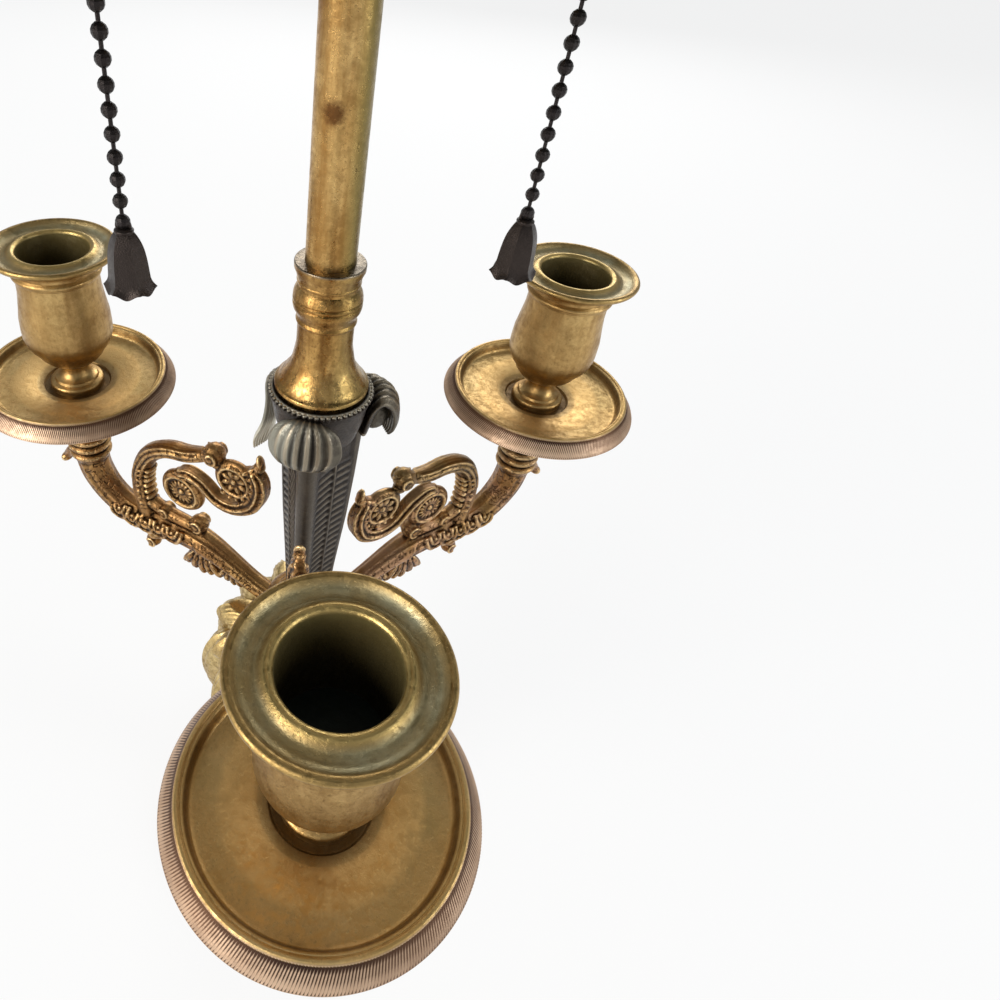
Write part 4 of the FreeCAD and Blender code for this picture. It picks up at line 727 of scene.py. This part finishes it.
def beside(path, turns, radius, first=0.0, last=1.0, out=0.92):
    """A line on a bar's skin. Turns are degrees from its upper side, at the start and the end of the line."""
    line = eased(path, 3)
    line = line[round(first * (len(line) - 1)):round(last * (len(line) - 1)) + 1]
    rows = []
    for i, (x, z, wire) in enumerate(line):
        ax, az = line[max(i - 1, 0)][:2]
        bx, bz = line[min(i + 1, len(line) - 1)][:2]
        long = math.hypot(bx - ax, bz - az) or 1.0
        turn = math.radians(turns[0] + (turns[1] - turns[0]) * i / max(len(line) - 1, 1))
        lift = wire * out * math.cos(turn)
        rows.append((x - (bz - az) / long * lift, wire * out * math.sin(turn), z + (bx - ax) / long * lift,
                     radius))
    return rows


def ring_path(x, y, z, reach, wire, count=12):
    """A ring that stands upright in the arm's plane."""
    rows = []
    for k in range(count):
        angle = math.tau * k / count
        rows.append((x + reach * math.cos(angle), y, z + reach * math.sin(angle), wire))
    return rows + rows[:1]


def rosette_parts(x, z, reach, wire, petals):
    """Rings, petals and a boss on both faces of a scroll's eye."""
    paths = [ring_path(x, 0.0, z, reach, wire)]
    eggs = [((x, 0.0, z), (reach * 0.96, 1.0, reach * 0.96), 0.0)]
    for face in (-1.0, 1.0):
        paths.append(ring_path(x, face * 1.9, z, reach - 0.4, 0.6))
        paths.append(ring_path(x, face * 1.2, z, reach * 0.30, 0.5, 8))
        eggs.append(((x, face * 1.0, z), (1.3, 1.5, 1.3), 0.0))
        if petals > 12:
            paths.append(ring_path(x, face * 1.1, z, reach * 0.76, 0.45))
        for k in range(petals):
            angle = math.tau * (k + 0.5) / petals
            far = reach * (0.52 if petals > 12 else 0.56)
            size = (1.5, 1.1, 0.62) if petals > 12 else (1.9, 1.3, 1.2)
            eggs.append(((x + far * math.cos(angle), face * 0.9, z + far * math.sin(angle)), size,
                         -math.degrees(angle)))
    return paths, eggs


def leaf_clump(x, z, along, across, upright):
    """A hanging leaf: a core with overlapping lobes, the middle one longest."""
    eggs = [((x, 0.0, z), (along * 0.8, across * 0.72, upright * 0.86), 0.0)]
    for k in (-2, -1, 0, 1, 2):
        for face in (-1.0, 1.0):
            drop = upright * (0.52 - 0.09 * abs(k))
            eggs.append(((x + k * along * 0.36, face * across * 0.42, z - drop * 0.62),
                         (along * 0.2, across * 0.5, upright * 0.52), k * -17.0))
            eggs.append(((x + k * along * 0.36, face * across * 0.70, z - drop * 0.25),
                         (0.55, 0.55, upright * 0.5), k * -17.0))
        eggs.append(((x + k * along * 0.4, 0.0, z - upright * (0.78 - 0.1 * abs(k))),
                     (1.5, across * 0.6, 2.1),
                     k * -20.0))
    return eggs


CAST_GRAIN = 0.42      # how fine the arms' casting is, in millimetres


def cast_arm(name, lift):
    """One arm as it is cast, with its limb, scroll, eyes, leaves and ringed socket."""
    limb = [(x, PAN + z, wire) for x, z, wire in LIMB]
    scroll = [(x, raised(x, z, lift), wire) for x, z, wire in C_SCROLL]
    strap = [(x, raised(x, z, lift), wire * 0.86) for x, z, wire in S_STRAP]
    side_stem = [(x, PAN + z, wire) for x, z, wire in SIDE_STEM]
    spur = [(x, PAN + z, wire) for x, z, wire in SPUR]
    paths = [[(x, 0.0, z, wire) for x, z, wire in path] for path in (limb, scroll, strap, side_stem, spur)]
    eggs = []
    for x, z, reach, wire, petals in ROSETTES:
        rings, lobes = rosette_parts(x, raised(x, z, lift), reach, wire, petals)
        paths += rings
        eggs += lobes
    for x, z, reach in SCROLL_BUDS:
        eggs.append(((x, 0.0, raised(x, z, lift)), (reach, reach, reach), 0.0))
    for x, z, reach in LIMB_BUDS:
        eggs.append(((x, 0.0, PAN + z), (reach, reach, reach), 0.0))
    for x, z, along, across, upright in ARM_LEAVES:
        eggs += leaf_clump(x, PAN + z, along, across, upright)
    eggs.append(((19.8, 0.0, raised(19.8, -11.0, lift)), (1.2, 2.0, 3.3), 16.0))
    for k in range(9):
        turn = math.radians(128.0 + 22.0 * k)
        x, z = 29.6 + 7.4 * math.cos(turn), -22.0 + 7.4 * math.sin(turn)
        eggs.append(((x, 0.0, raised(x, z, lift)), (2.6, 2.5, 1.5), -math.degrees(turn) - 18.0))
        eggs.append(((x, 0.0, raised(x, z, lift)), (1.0, 3.1, 0.7), -math.degrees(turn) + 30.0))
    for face in (-1.0, 1.0):
        bud_x, bud_z = SCROLL_BUDS[0][0], raised(SCROLL_BUDS[0][0], SCROLL_BUDS[0][1], lift)
        curl = [(bud_x + far * math.cos(turn), face * deep, bud_z + far * math.sin(turn), 0.6)
                for turn, far, deep in ((0.6, 4.0, 1.4), (-0.6, 3.4, 2.6), (-1.9, 2.9, 3.2), (-3.2, 2.4, 3.6),
                                        (-4.5, 1.8, 3.9), (-5.8, 1.0, 4.1))]
        paths.append(curl)
        for turn in (62.0, 92.0, 122.0):
            paths.append(beside(scroll, (face * turn, face * (turn + 8.0)), 0.62, 0.28, 0.95))
        for turn in (40.0, 90.0, 140.0):
            paths.append(beside(strap, (face * turn, face * turn), 0.62, 0.04, 0.94, 1.0))
        for turn in (50.0, 84.0, 112.0, 140.0):
            paths.append(beside(limb, (face * turn, face * (turn - 4.0)), 0.55, 0.04, 0.42))
        for turn in (56.0, 82.0, 108.0, 134.0):
            paths.append(beside(limb, (face * turn, face * (turn + 6.0)), 0.55, 0.76, 0.97))
        for k in range(18):
            x, z, wire = row_at(limb, 20.0 + 1.5 * k)
            hatch = []
            for turn, shift in ((54.0, 1.6), (74.0, 0.6), (94.0, -0.5), (110.0, -1.5)):
                lean = math.radians(turn)
                hatch.append((x + shift, face * wire * math.sin(lean), z + wire * math.cos(lean), 0.4))
            paths.append(hatch)
        for k in range(5):
            x, z, wire = row_at(limb, 56.5 + 6.4 * k)
            for share in (1.0, 0.55):
                swag = []
                for turn in (-90, -60, -30, 0, 30, 60, 90):
                    lean = math.radians(44.0 + 72.0 * share * math.cos(math.radians(turn)))
                    swag.append((x + 4.4 * share * math.sin(math.radians(turn)),
                                 face * wire * 1.02 * math.sin(lean),
                                 z + wire * 1.02 * math.cos(lean), 0.8))
                paths.append(swag)
            lean = math.radians(66.0)
            eggs.append(((x, face * wire * math.sin(lean), z + wire * math.cos(lean)), (1.0, 0.8, 1.2), 0.0))
        for k in range(3):
            bud = LIMB_BUDS[k]
            paths.append([(bud[0] + bud[2] * 0.62 * math.cos(turn), face * bud[2] * 0.86,
                           PAN + bud[1] + bud[2] * 0.62 * math.sin(turn),
                           0.45) for turn in (0.4, 1.6, 2.8, 4.0, 5.2)])
    for k in range(7):
        x, z, wire = eased(scroll, 6)[5 + 2 * k]
        eggs.append(((x - wire * 0.9, 0.0, z), (1.7, 3.5, 1.35), 0.0))
        eggs.append(((x - wire * 0.2, 0.0, z), (1.9, wire + 0.7, 0.95), 22.0))
    for k in range(7):
        x, z, wire = row_at(limb, 56.0 + 4.6 * k)
        eggs.append(((x, 0.0, z - wire * 0.98), (1.9, 3.1, 1.0), -12.0))
    eggs.append(((111.8, 0.0, PAN - 44.6), (2.0, 3.0, 2.0), 0.0))
    eggs.append(((84.0, 0.0, PAN - 58.5), (6.4, 4.4, 4.2), 24.0))
    socket = lathe(ARM_SOCKET, 64, (REACH, 0.0, PAN))
    pieces = [bars(paths), socket]
    clear()
    bpy.ops.mesh.primitive_ico_sphere_add(subdivisions=2, radius=1.0, location=(0, 0, 0))
    pattern = bpy.context.object
    for centre, radii, lean in eggs:
        mesh = pattern.data.copy()
        size = Matrix.Diagonal(tuple(r * MM for r in radii) + (1.0,))
        spot = Matrix.Translation(tuple(c * MM for c in centre))
        mesh.transform(spot @ Matrix.Rotation(math.radians(lean), 4, "Y") @ size)
        egg = bpy.data.objects.new("egg", mesh)
        bpy.context.collection.objects.link(egg)
        pieces.append(egg)
    bpy.data.objects.remove(pattern)
    arm = cast_skin(joined(pieces), CAST_GRAIN, 1, 0.35)
    sway = SCROLL_SWAYS.get(name, 0.0)
    for vertex in arm.data.vertices:
        x, z = vertex.co.x / MM, vertex.co.z / MM - PAN
        if x < SCROLL_FOOT and z > -50.0 - (SCROLL_FOOT - x) * 0.05:
            vertex.co.y += sway * MM * (SCROLL_FOOT - x) / SCROLL_REACH
    arm.rotation_euler.z = math.radians(CUPS[name])
    return mark_relief(settle(arm))


for name, lift in SCROLL_LIFTS.items():
    finished(cast_arm(name, lift), "arm_cast_" + name, gilding, node="arm_" + name)


SHAFT_SECTIONS = ((-58, 6, 2.8), (-41, 7.2, 2.9), (-18, 9.2, 3.0), (2, 10.3, 3.1), (18, 10.8, 3.2),
                  (30, 11, 3.4))
CHEVRON_PITCH = 3.0
LEAF_CURLS = {
    -105.0: ((14.0, 34.8, 2.8, 1.2), (16.4, 35.0, 6.0, 1.5), (18.6, 32.6, 9.0, 1.7), (20.3, 28.4, 10.4, 1.7),
             (20.9, 25.0, 10.0, 1.5), (20.5, 22.8, 7.6, 1.1)),
    15.0: ((13.6, 20.0, 5.0, 2.6), (15.6, 29.5, 7.2, 2.8), (18.6, 33.2, 8.0, 2.8), (21.8, 30.6, 7.4, 2.6),
           (23.3, 25.0, 6.0, 2.4), (23.2, 20.0, 4.6, 2.0), (22.3, 17.0, 2.8, 1.4)),
    135.0: ((13.6, 24.0, 3.5, 1.7), (16.4, 32.4, 5.0, 1.8), (18.6, 30.0, 4.6, 1.8), (19.6, 21.0, 3.2, 1.7),
            (21.2, 12.0, 3.2, 1.6), (23.8, 4.6, 4.6, 1.6), (25.0, -0.6, 3.4, 1.2))}


def bell_curve(value, width):
    return math.exp(-(value / width) ** 2)


def shaft_reach(level, turn):
    """How far the three-sided shaft's skin is from the axis, with its ribs and slanting ridges."""
    low, centre, corner = row_at(SHAFT_SECTIONS, level)
    away = abs((turn + 105.0 + 60.0) % 120.0 - 60.0)
    off = math.radians(away)
    flat = centre * 0.5 + corner
    if off < math.atan2(corner * math.sin(math.pi / 3.0), centre + corner * 0.5):
        far = centre * math.cos(off) + math.sqrt(corner ** 2 - (centre * math.sin(off)) ** 2)
    else:
        far = flat / math.cos(math.pi / 3.0 - off)
    sideways = flat * math.tan(math.pi / 3.0 - off)
    panel = min(max((away - 17.0) / 3.0, 0.0), 1.0)
    rib = bell_curve(sideways, 0.75)
    rise = 0.1 if (turn + 105.0) % 360.0 < 120.0 else 0.6
    slant = (level + sideways * rise) / CHEVRON_PITCH
    ridge = abs(math.cos(math.pi * slant)) ** 1.4 * min(max((13.0 - level) / 4.0, 0.0), 1.0)
    carved = panel * (-0.75 + 0.62 * ridge * (1.0 - rib)) + rib * 0.95 * panel
    return far + carved - 0.25 * bell_curve(away - 17.0, 1.6)


def leaf_curl(turn, rows):
    """A fan-shaped leaf that hugs the shaft and curls over, grooved between its lobes."""
    line = eased(rows, 9)
    rings = []
    count = 84
    for i, (reach, level, wide, thick) in enumerate(line):
        ax, az = line[max(i - 1, 0)][:2]
        bx, bz = line[min(i + 1, len(line) - 1)][:2]
        long = math.hypot(bx - ax, bz - az) or 1.0
        share = i / (len(line) - 1)
        ring = []
        for k in range(count):
            angle = math.tau * k / count
            across = math.cos(angle)
            lobe = abs(math.cos(3.5 * math.pi * across * 0.96)) ** 0.6
            swell = thick * 0.7 * math.sin(angle)
            swell += wide * 0.085 * (lobe - 0.6) * min(share * 3.0, 1.0) * abs(math.sin(angle))
            lag = share * (1.0 - lobe) * wide * 0.16
            x = reach + (bz - az) / long * swell - (bx - ax) / long * lag - 0.035 * (across * wide) ** 2
            z = PAN + level - (bx - ax) / long * swell - (bz - az) / long * lag
            ring.append((x, across * wide, z))
        rings.append(ring)
    leaf = skin(rings, 60.0)
    leaf.rotation_euler.z = math.radians(turn)
    return settle(leaf)


SHAFT_FOOT, SHAFT_HEIGHT, SHAFT_ROWS, SHAFT_STEP = -58.0, 88.0, 252, 1.5
shaft_rings = []
for k in range(SHAFT_ROWS):
    level = SHAFT_FOOT + SHAFT_HEIGHT * k / (SHAFT_ROWS - 1.0)
    turns = [SHAFT_STEP * i for i in range(round(360.0 / SHAFT_STEP))]
    shaft_rings.append([tuple(polar(shaft_reach(level, turn), turn, PAN + level)) for turn in turns])
shaft_parts = [mark_relief(skin(shaft_rings, 70.0), 9)]
shaft_parts.append(lathe([(9.0, 20.0), (11.5, 22.0), (13.9, 33.0, 0.05), (14.4, 34.6), (14.5, 35.6),
                          (14.0, 37.3, 0.3),
                          (13.55, 37.5), (13.55, 34.5), (9.0, 34.5)], 96, (0, 0, PAN)))
shaft_parts += [mark_relief(leaf_curl(turn, rows), 9) for turn, rows in LEAF_CURLS.items()]
shaft_parts.append(knob(polar(17.6, 15.0, PAN + 24.5), (4.6, 3.6, 5.6), 0.0, 15.0, 3))
shaft_parts.append(ring_of(knob((14.45, 0.0, PAN + 36.6), (0.78, 0.78, 0.78)), 56))
finished(joined(shaft_parts), "shaft_cast", bronze, node="leaf_shaft")

URN_OUTLINE = ((73, 10.5), (76, 12.0), (92, 20.0), (118, 33.0), (136, 33.0), (150, 23.4), (154, 15.0))
URN_TIERS = ((26.5, 125.5, 12.5, 9.6, 21.5, 0.0), (22.5, 146.0, 12.0, 7.0, 9.5, 15.0))


def urn_reach(level, turn):
    """How far the urn's skin is from the axis, with two tiers of veined leaves."""
    far = row_at(URN_OUTLINE, level)[1]
    for middle, height, deep, wide, tall, shift in URN_TIERS:
        off = math.radians((turn - shift + 15.0) % 30.0 - 15.0)
        rise = 1.0 - ((level - height) / tall) ** 2
        if rise <= 0.0:
            continue
        a = (math.cos(off) / deep) ** 2 + (math.sin(off) / wide) ** 2
        b = math.cos(off) * middle / deep ** 2
        inner = b * b - a * ((middle / deep) ** 2 - rise)
        if inner <= 0.0:
            continue
        lobe = (b + math.sqrt(inner)) / a
        sideways = lobe * math.sin(off)
        fan = math.atan2(sideways, level - (height - tall * 1.25))
        veins = abs(math.cos(fan * 34.0)) ** 0.7
        lobe += 0.9 * (veins - 0.7) - 1.2 * bell_curve(abs(sideways) - wide * 0.72,
                                                       0.9) + 0.8 * bell_curve(sideways, 0.8)
        far = max(far, lobe - 0.3)
    return far


URN_FOOT, URN_HEIGHT, URN_ROWS = 73.0, 81.0, 200
urn_rings = []
for k in range(URN_ROWS):
    level = URN_FOOT + URN_HEIGHT * k / (URN_ROWS - 1.0)
    urn_rings.append([tuple(polar(urn_reach(level, turn), turn, level)) for turn in range(360)])
finished(mark_relief(skin(urn_rings, 50.0), 8), "urn_cast", urn_gold, node="urn_body")

CHAIN_TOPS = {"left": (-43.384, -28.454), "right": (40.941, -14.569)}
CHAIN_START, BEAD_PITCH, BEAD_COUNT, BEAD_RADIUS = 393.6, 4.17, 17, 1.52
BELL_TOP, BELL_HEIGHT, BELL_WALL = 325.3, 12.9, 0.55
BELL_ROWS = ((0.0, 1.2), (0.04, 1.9), (0.10, 2.5), (0.20, 3.15), (0.32, 3.65), (0.48, 4.0), (0.64, 4.2),
             (0.78, 4.35),
             (0.86, 4.55), (0.93, 4.95), (1.0, 5.6))


def bell_pull(x, y):
    """A six-sided bell with a flared, scalloped lip, and a small ring that holds the chain."""
    top, tall = BELL_TOP, BELL_HEIGHT
    rings = []
    for inside in (False, True):
        rows = eased([tuple(row) for row in BELL_ROWS], 3)
        for share, corner in (reversed(rows) if inside else rows):
            ring = []
            for k in range(72):
                turn = k * 5.0
                off = abs(math.radians((turn + 30.0) % 60.0 - 30.0))
                flat = math.cos(math.pi / 6.0) / math.cos(math.pi / 6.0 - off)
                scallop = 0.55 * max(share - 0.8, 0.0) / 0.2 * math.cos(math.radians(turn * 6.0))
                far = max(corner * (1.0 - 0.9 * (1.0 - flat)) - (BELL_WALL if inside else 0.0), 0.3)
                drop = max(share, 0.07 if inside else 0.0) * tall - scallop
                spot = polar(far, turn)
                ring.append((x + spot.x, y + spot.y, top - drop))
            rings.append(ring)
    body = skin(rings, 24.0)
    eye = bars([[(x + 1.25 * math.cos(a), y, top + 0.7 + 1.25 * math.sin(a), 0.42)
                 for a in (0.0, 1.05, 2.09, 3.14, 4.19, 5.24, 0.0)]], 8, 3)
    neck = lathe([(0.0, 0.4), (0.0, -0.9), (1.7, -0.9), (1.9, -0.5, 0.4), (1.9, 0.0, 0.4), (1.2, 0.4)], 24,
                 (x, y, top))
    return joined([body, eye, neck])


def bead_chain(x, y):
    """Seventeen faceted beads with short links between them."""
    beads = [bead(x, y, CHAIN_START - BEAD_PITCH * k) for k in range(BEAD_COUNT)]
    last = CHAIN_START - BEAD_PITCH * (BEAD_COUNT - 1)
    wire = bars([[(x, y, CHAIN_START, 0.42), (x, y, last, 0.42)]], 8, 1)
    return joined(beads + [wire])


def bead(x, y, z):
    clear()
    bpy.ops.mesh.primitive_uv_sphere_add(segments=10, ring_count=7, radius=BEAD_RADIUS * MM,
                                         location=(x * MM, y * MM, z * MM))
    return settle(bpy.context.object)


for side, (x, y) in CHAIN_TOPS.items():
    finished(bead_chain(x, y), "chain_beads_" + side, chain_black, "chain_" + side, "pull_chain_" + side)
    finished(bell_pull(x, y), "bell_tulip_" + side, bell_patina, "chain_" + side, "bell_pull_" + side)

for name, finish in (("felt_pad", baize), ("cord_grommet", rubber), ("base_weight", raw_iron),
                     ("base_washer", zinc),
                     ("base_nut", zinc), ("arm_screws", zinc), ("cup_studs", zinc), ("tie_pipe", zinc),
                     ("arm_hub", gilding), ("cluster_body", fitting_gold), ("shade_carrier", fitting_gold),
                     ("shade_spider", fitting_gold), ("shade_key", fitting_gold), ("shade_rod", fitting_gold),
                     ("finial", fitting_gold), ("shade", shade_green), ("leaf_shaft", bronze),
                     ("urn_body", urn_gold),
                     ("arm_front", gilding), ("arm_right", gilding), ("arm_left", gilding)):
    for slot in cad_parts[name].material_slots:
        slot.material = finish.material
for side in ("left", "right"):
    for name, finish in (("socket_nipple", zinc), ("socket_cap", fitting_gold),
                         ("socket_shell", fitting_gold),
                         ("socket_liner", fibre), ("socket_body", insulator), ("screw_shell", bright_contact),
                         ("centre_contact", bright_contact), ("chain_outlet", fitting_gold),
                         ("pull_lever", bright_contact), ("pull_link", chain_black),
                         ("pull_chain", chain_black),
                         ("bell_pull", chain_black)):
        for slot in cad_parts["%s_%s" % (name, side)].material_slots:
            slot.material = finish.material

# Floor, light and camera
scene = bpy.context.scene
scene.view_settings.view_transform = "Standard"


def pale_floor():
    finish = Finish("pale floor", Roughness=0.9, Base_Color=(0.86, 0.86, 0.85, 1.0))
    tree = finish.material.node_tree
    glow = finish.nodes.new("ShaderNodeEmission")
    glow.inputs["Color"].default_value = (1.0, 1.0, 1.0, 1.0)
    mixer = finish.nodes.new("ShaderNodeMixShader")
    ray = finish.nodes.new("ShaderNodeLightPath")
    seen = Sock(finish, ray.outputs["Is Camera Ray"]) + Sock(finish, ray.outputs["Is Glossy Ray"])
    share = finish.make("Math", {"operation": "MINIMUM"}, seen * 0.8, 1.0)
    tree.links.new(share.socket, mixer.inputs[0])
    tree.links.new(finish.shader.outputs[0], mixer.inputs[1])
    tree.links.new(glow.outputs[0], mixer.inputs[2])
    output = next(n for n in finish.nodes if n.type == "OUTPUT_MATERIAL")
    tree.links.new(mixer.outputs[0], output.inputs["Surface"])
    return finish


clear()
bpy.ops.mesh.primitive_plane_add(size=12.0, location=(0, 0, 0))
floor = bpy.context.object
floor.name = "floor"
floor.data.materials.append(pale_floor().material)

world = bpy.data.worlds.new("studio") if not scene.world else scene.world
scene.world = world
world.use_nodes = True
sky = next(n for n in world.node_tree.nodes if n.type == "BACKGROUND")
sky.inputs["Color"].default_value = (0.92, 0.96, 1.0, 1.0)
sky.inputs["Strength"].default_value = 0.42


def lamp(name, place, aim, size, power, colour=(1.0, 1.0, 1.0)):
    clear()
    bpy.ops.object.light_add(type="AREA", location=place)
    light = bpy.context.object
    light.name = name
    light.data.shape = "RECTANGLE"
    light.data.size, light.data.size_y = size
    light.data.energy = power
    light.data.color = colour
    light.rotation_euler = (Vector(aim) - Vector(place)).to_track_quat("-Z", "Y").to_euler()
    return light


lamp("window_light", (-1.5, -1.0, 0.95), (0, 0, 0.24), (1.1, 1.3), 34.0, (1.0, 0.97, 0.93))
lamp("side_light", (1.5, -0.6, 0.75), (0, 0, 0.24), (0.5, 1.2), 11.0, (0.93, 0.97, 1.0))
lamp("back_light", (0.3, 1.7, 1.0), (0, 0, 0.24), (1.4, 0.9), 14.0)

eye = bpy.data.cameras.new("photo_camera")
eye.sensor_width = 36.0
eye.lens = 36.0 * 0.725888
eye.shift_x = 0.177114
eye.shift_y = -0.063511
eye.clip_start = 0.005
camera = bpy.data.objects.new("photo_camera", eye)
bpy.context.collection.objects.link(camera)
yaw, down, roll = math.radians(-4.647), math.radians(40.802), math.radians(4.827)
ahead = Vector((-math.sin(yaw) * math.cos(down), math.cos(yaw) * math.cos(down), -math.sin(down)))
level_right = Vector((math.cos(yaw), math.sin(yaw), 0.0))
level_up = level_right.cross(ahead)
right = level_right * math.cos(roll) + level_up * math.sin(roll)
up = level_up * math.cos(roll) - level_right * math.sin(roll)
turned = Matrix((right, up, -ahead)).transposed().to_4x4()
camera.matrix_world = Matrix.Translation((-0.011662, -0.164479, 0.390561)) @ turned
scene.camera = camera
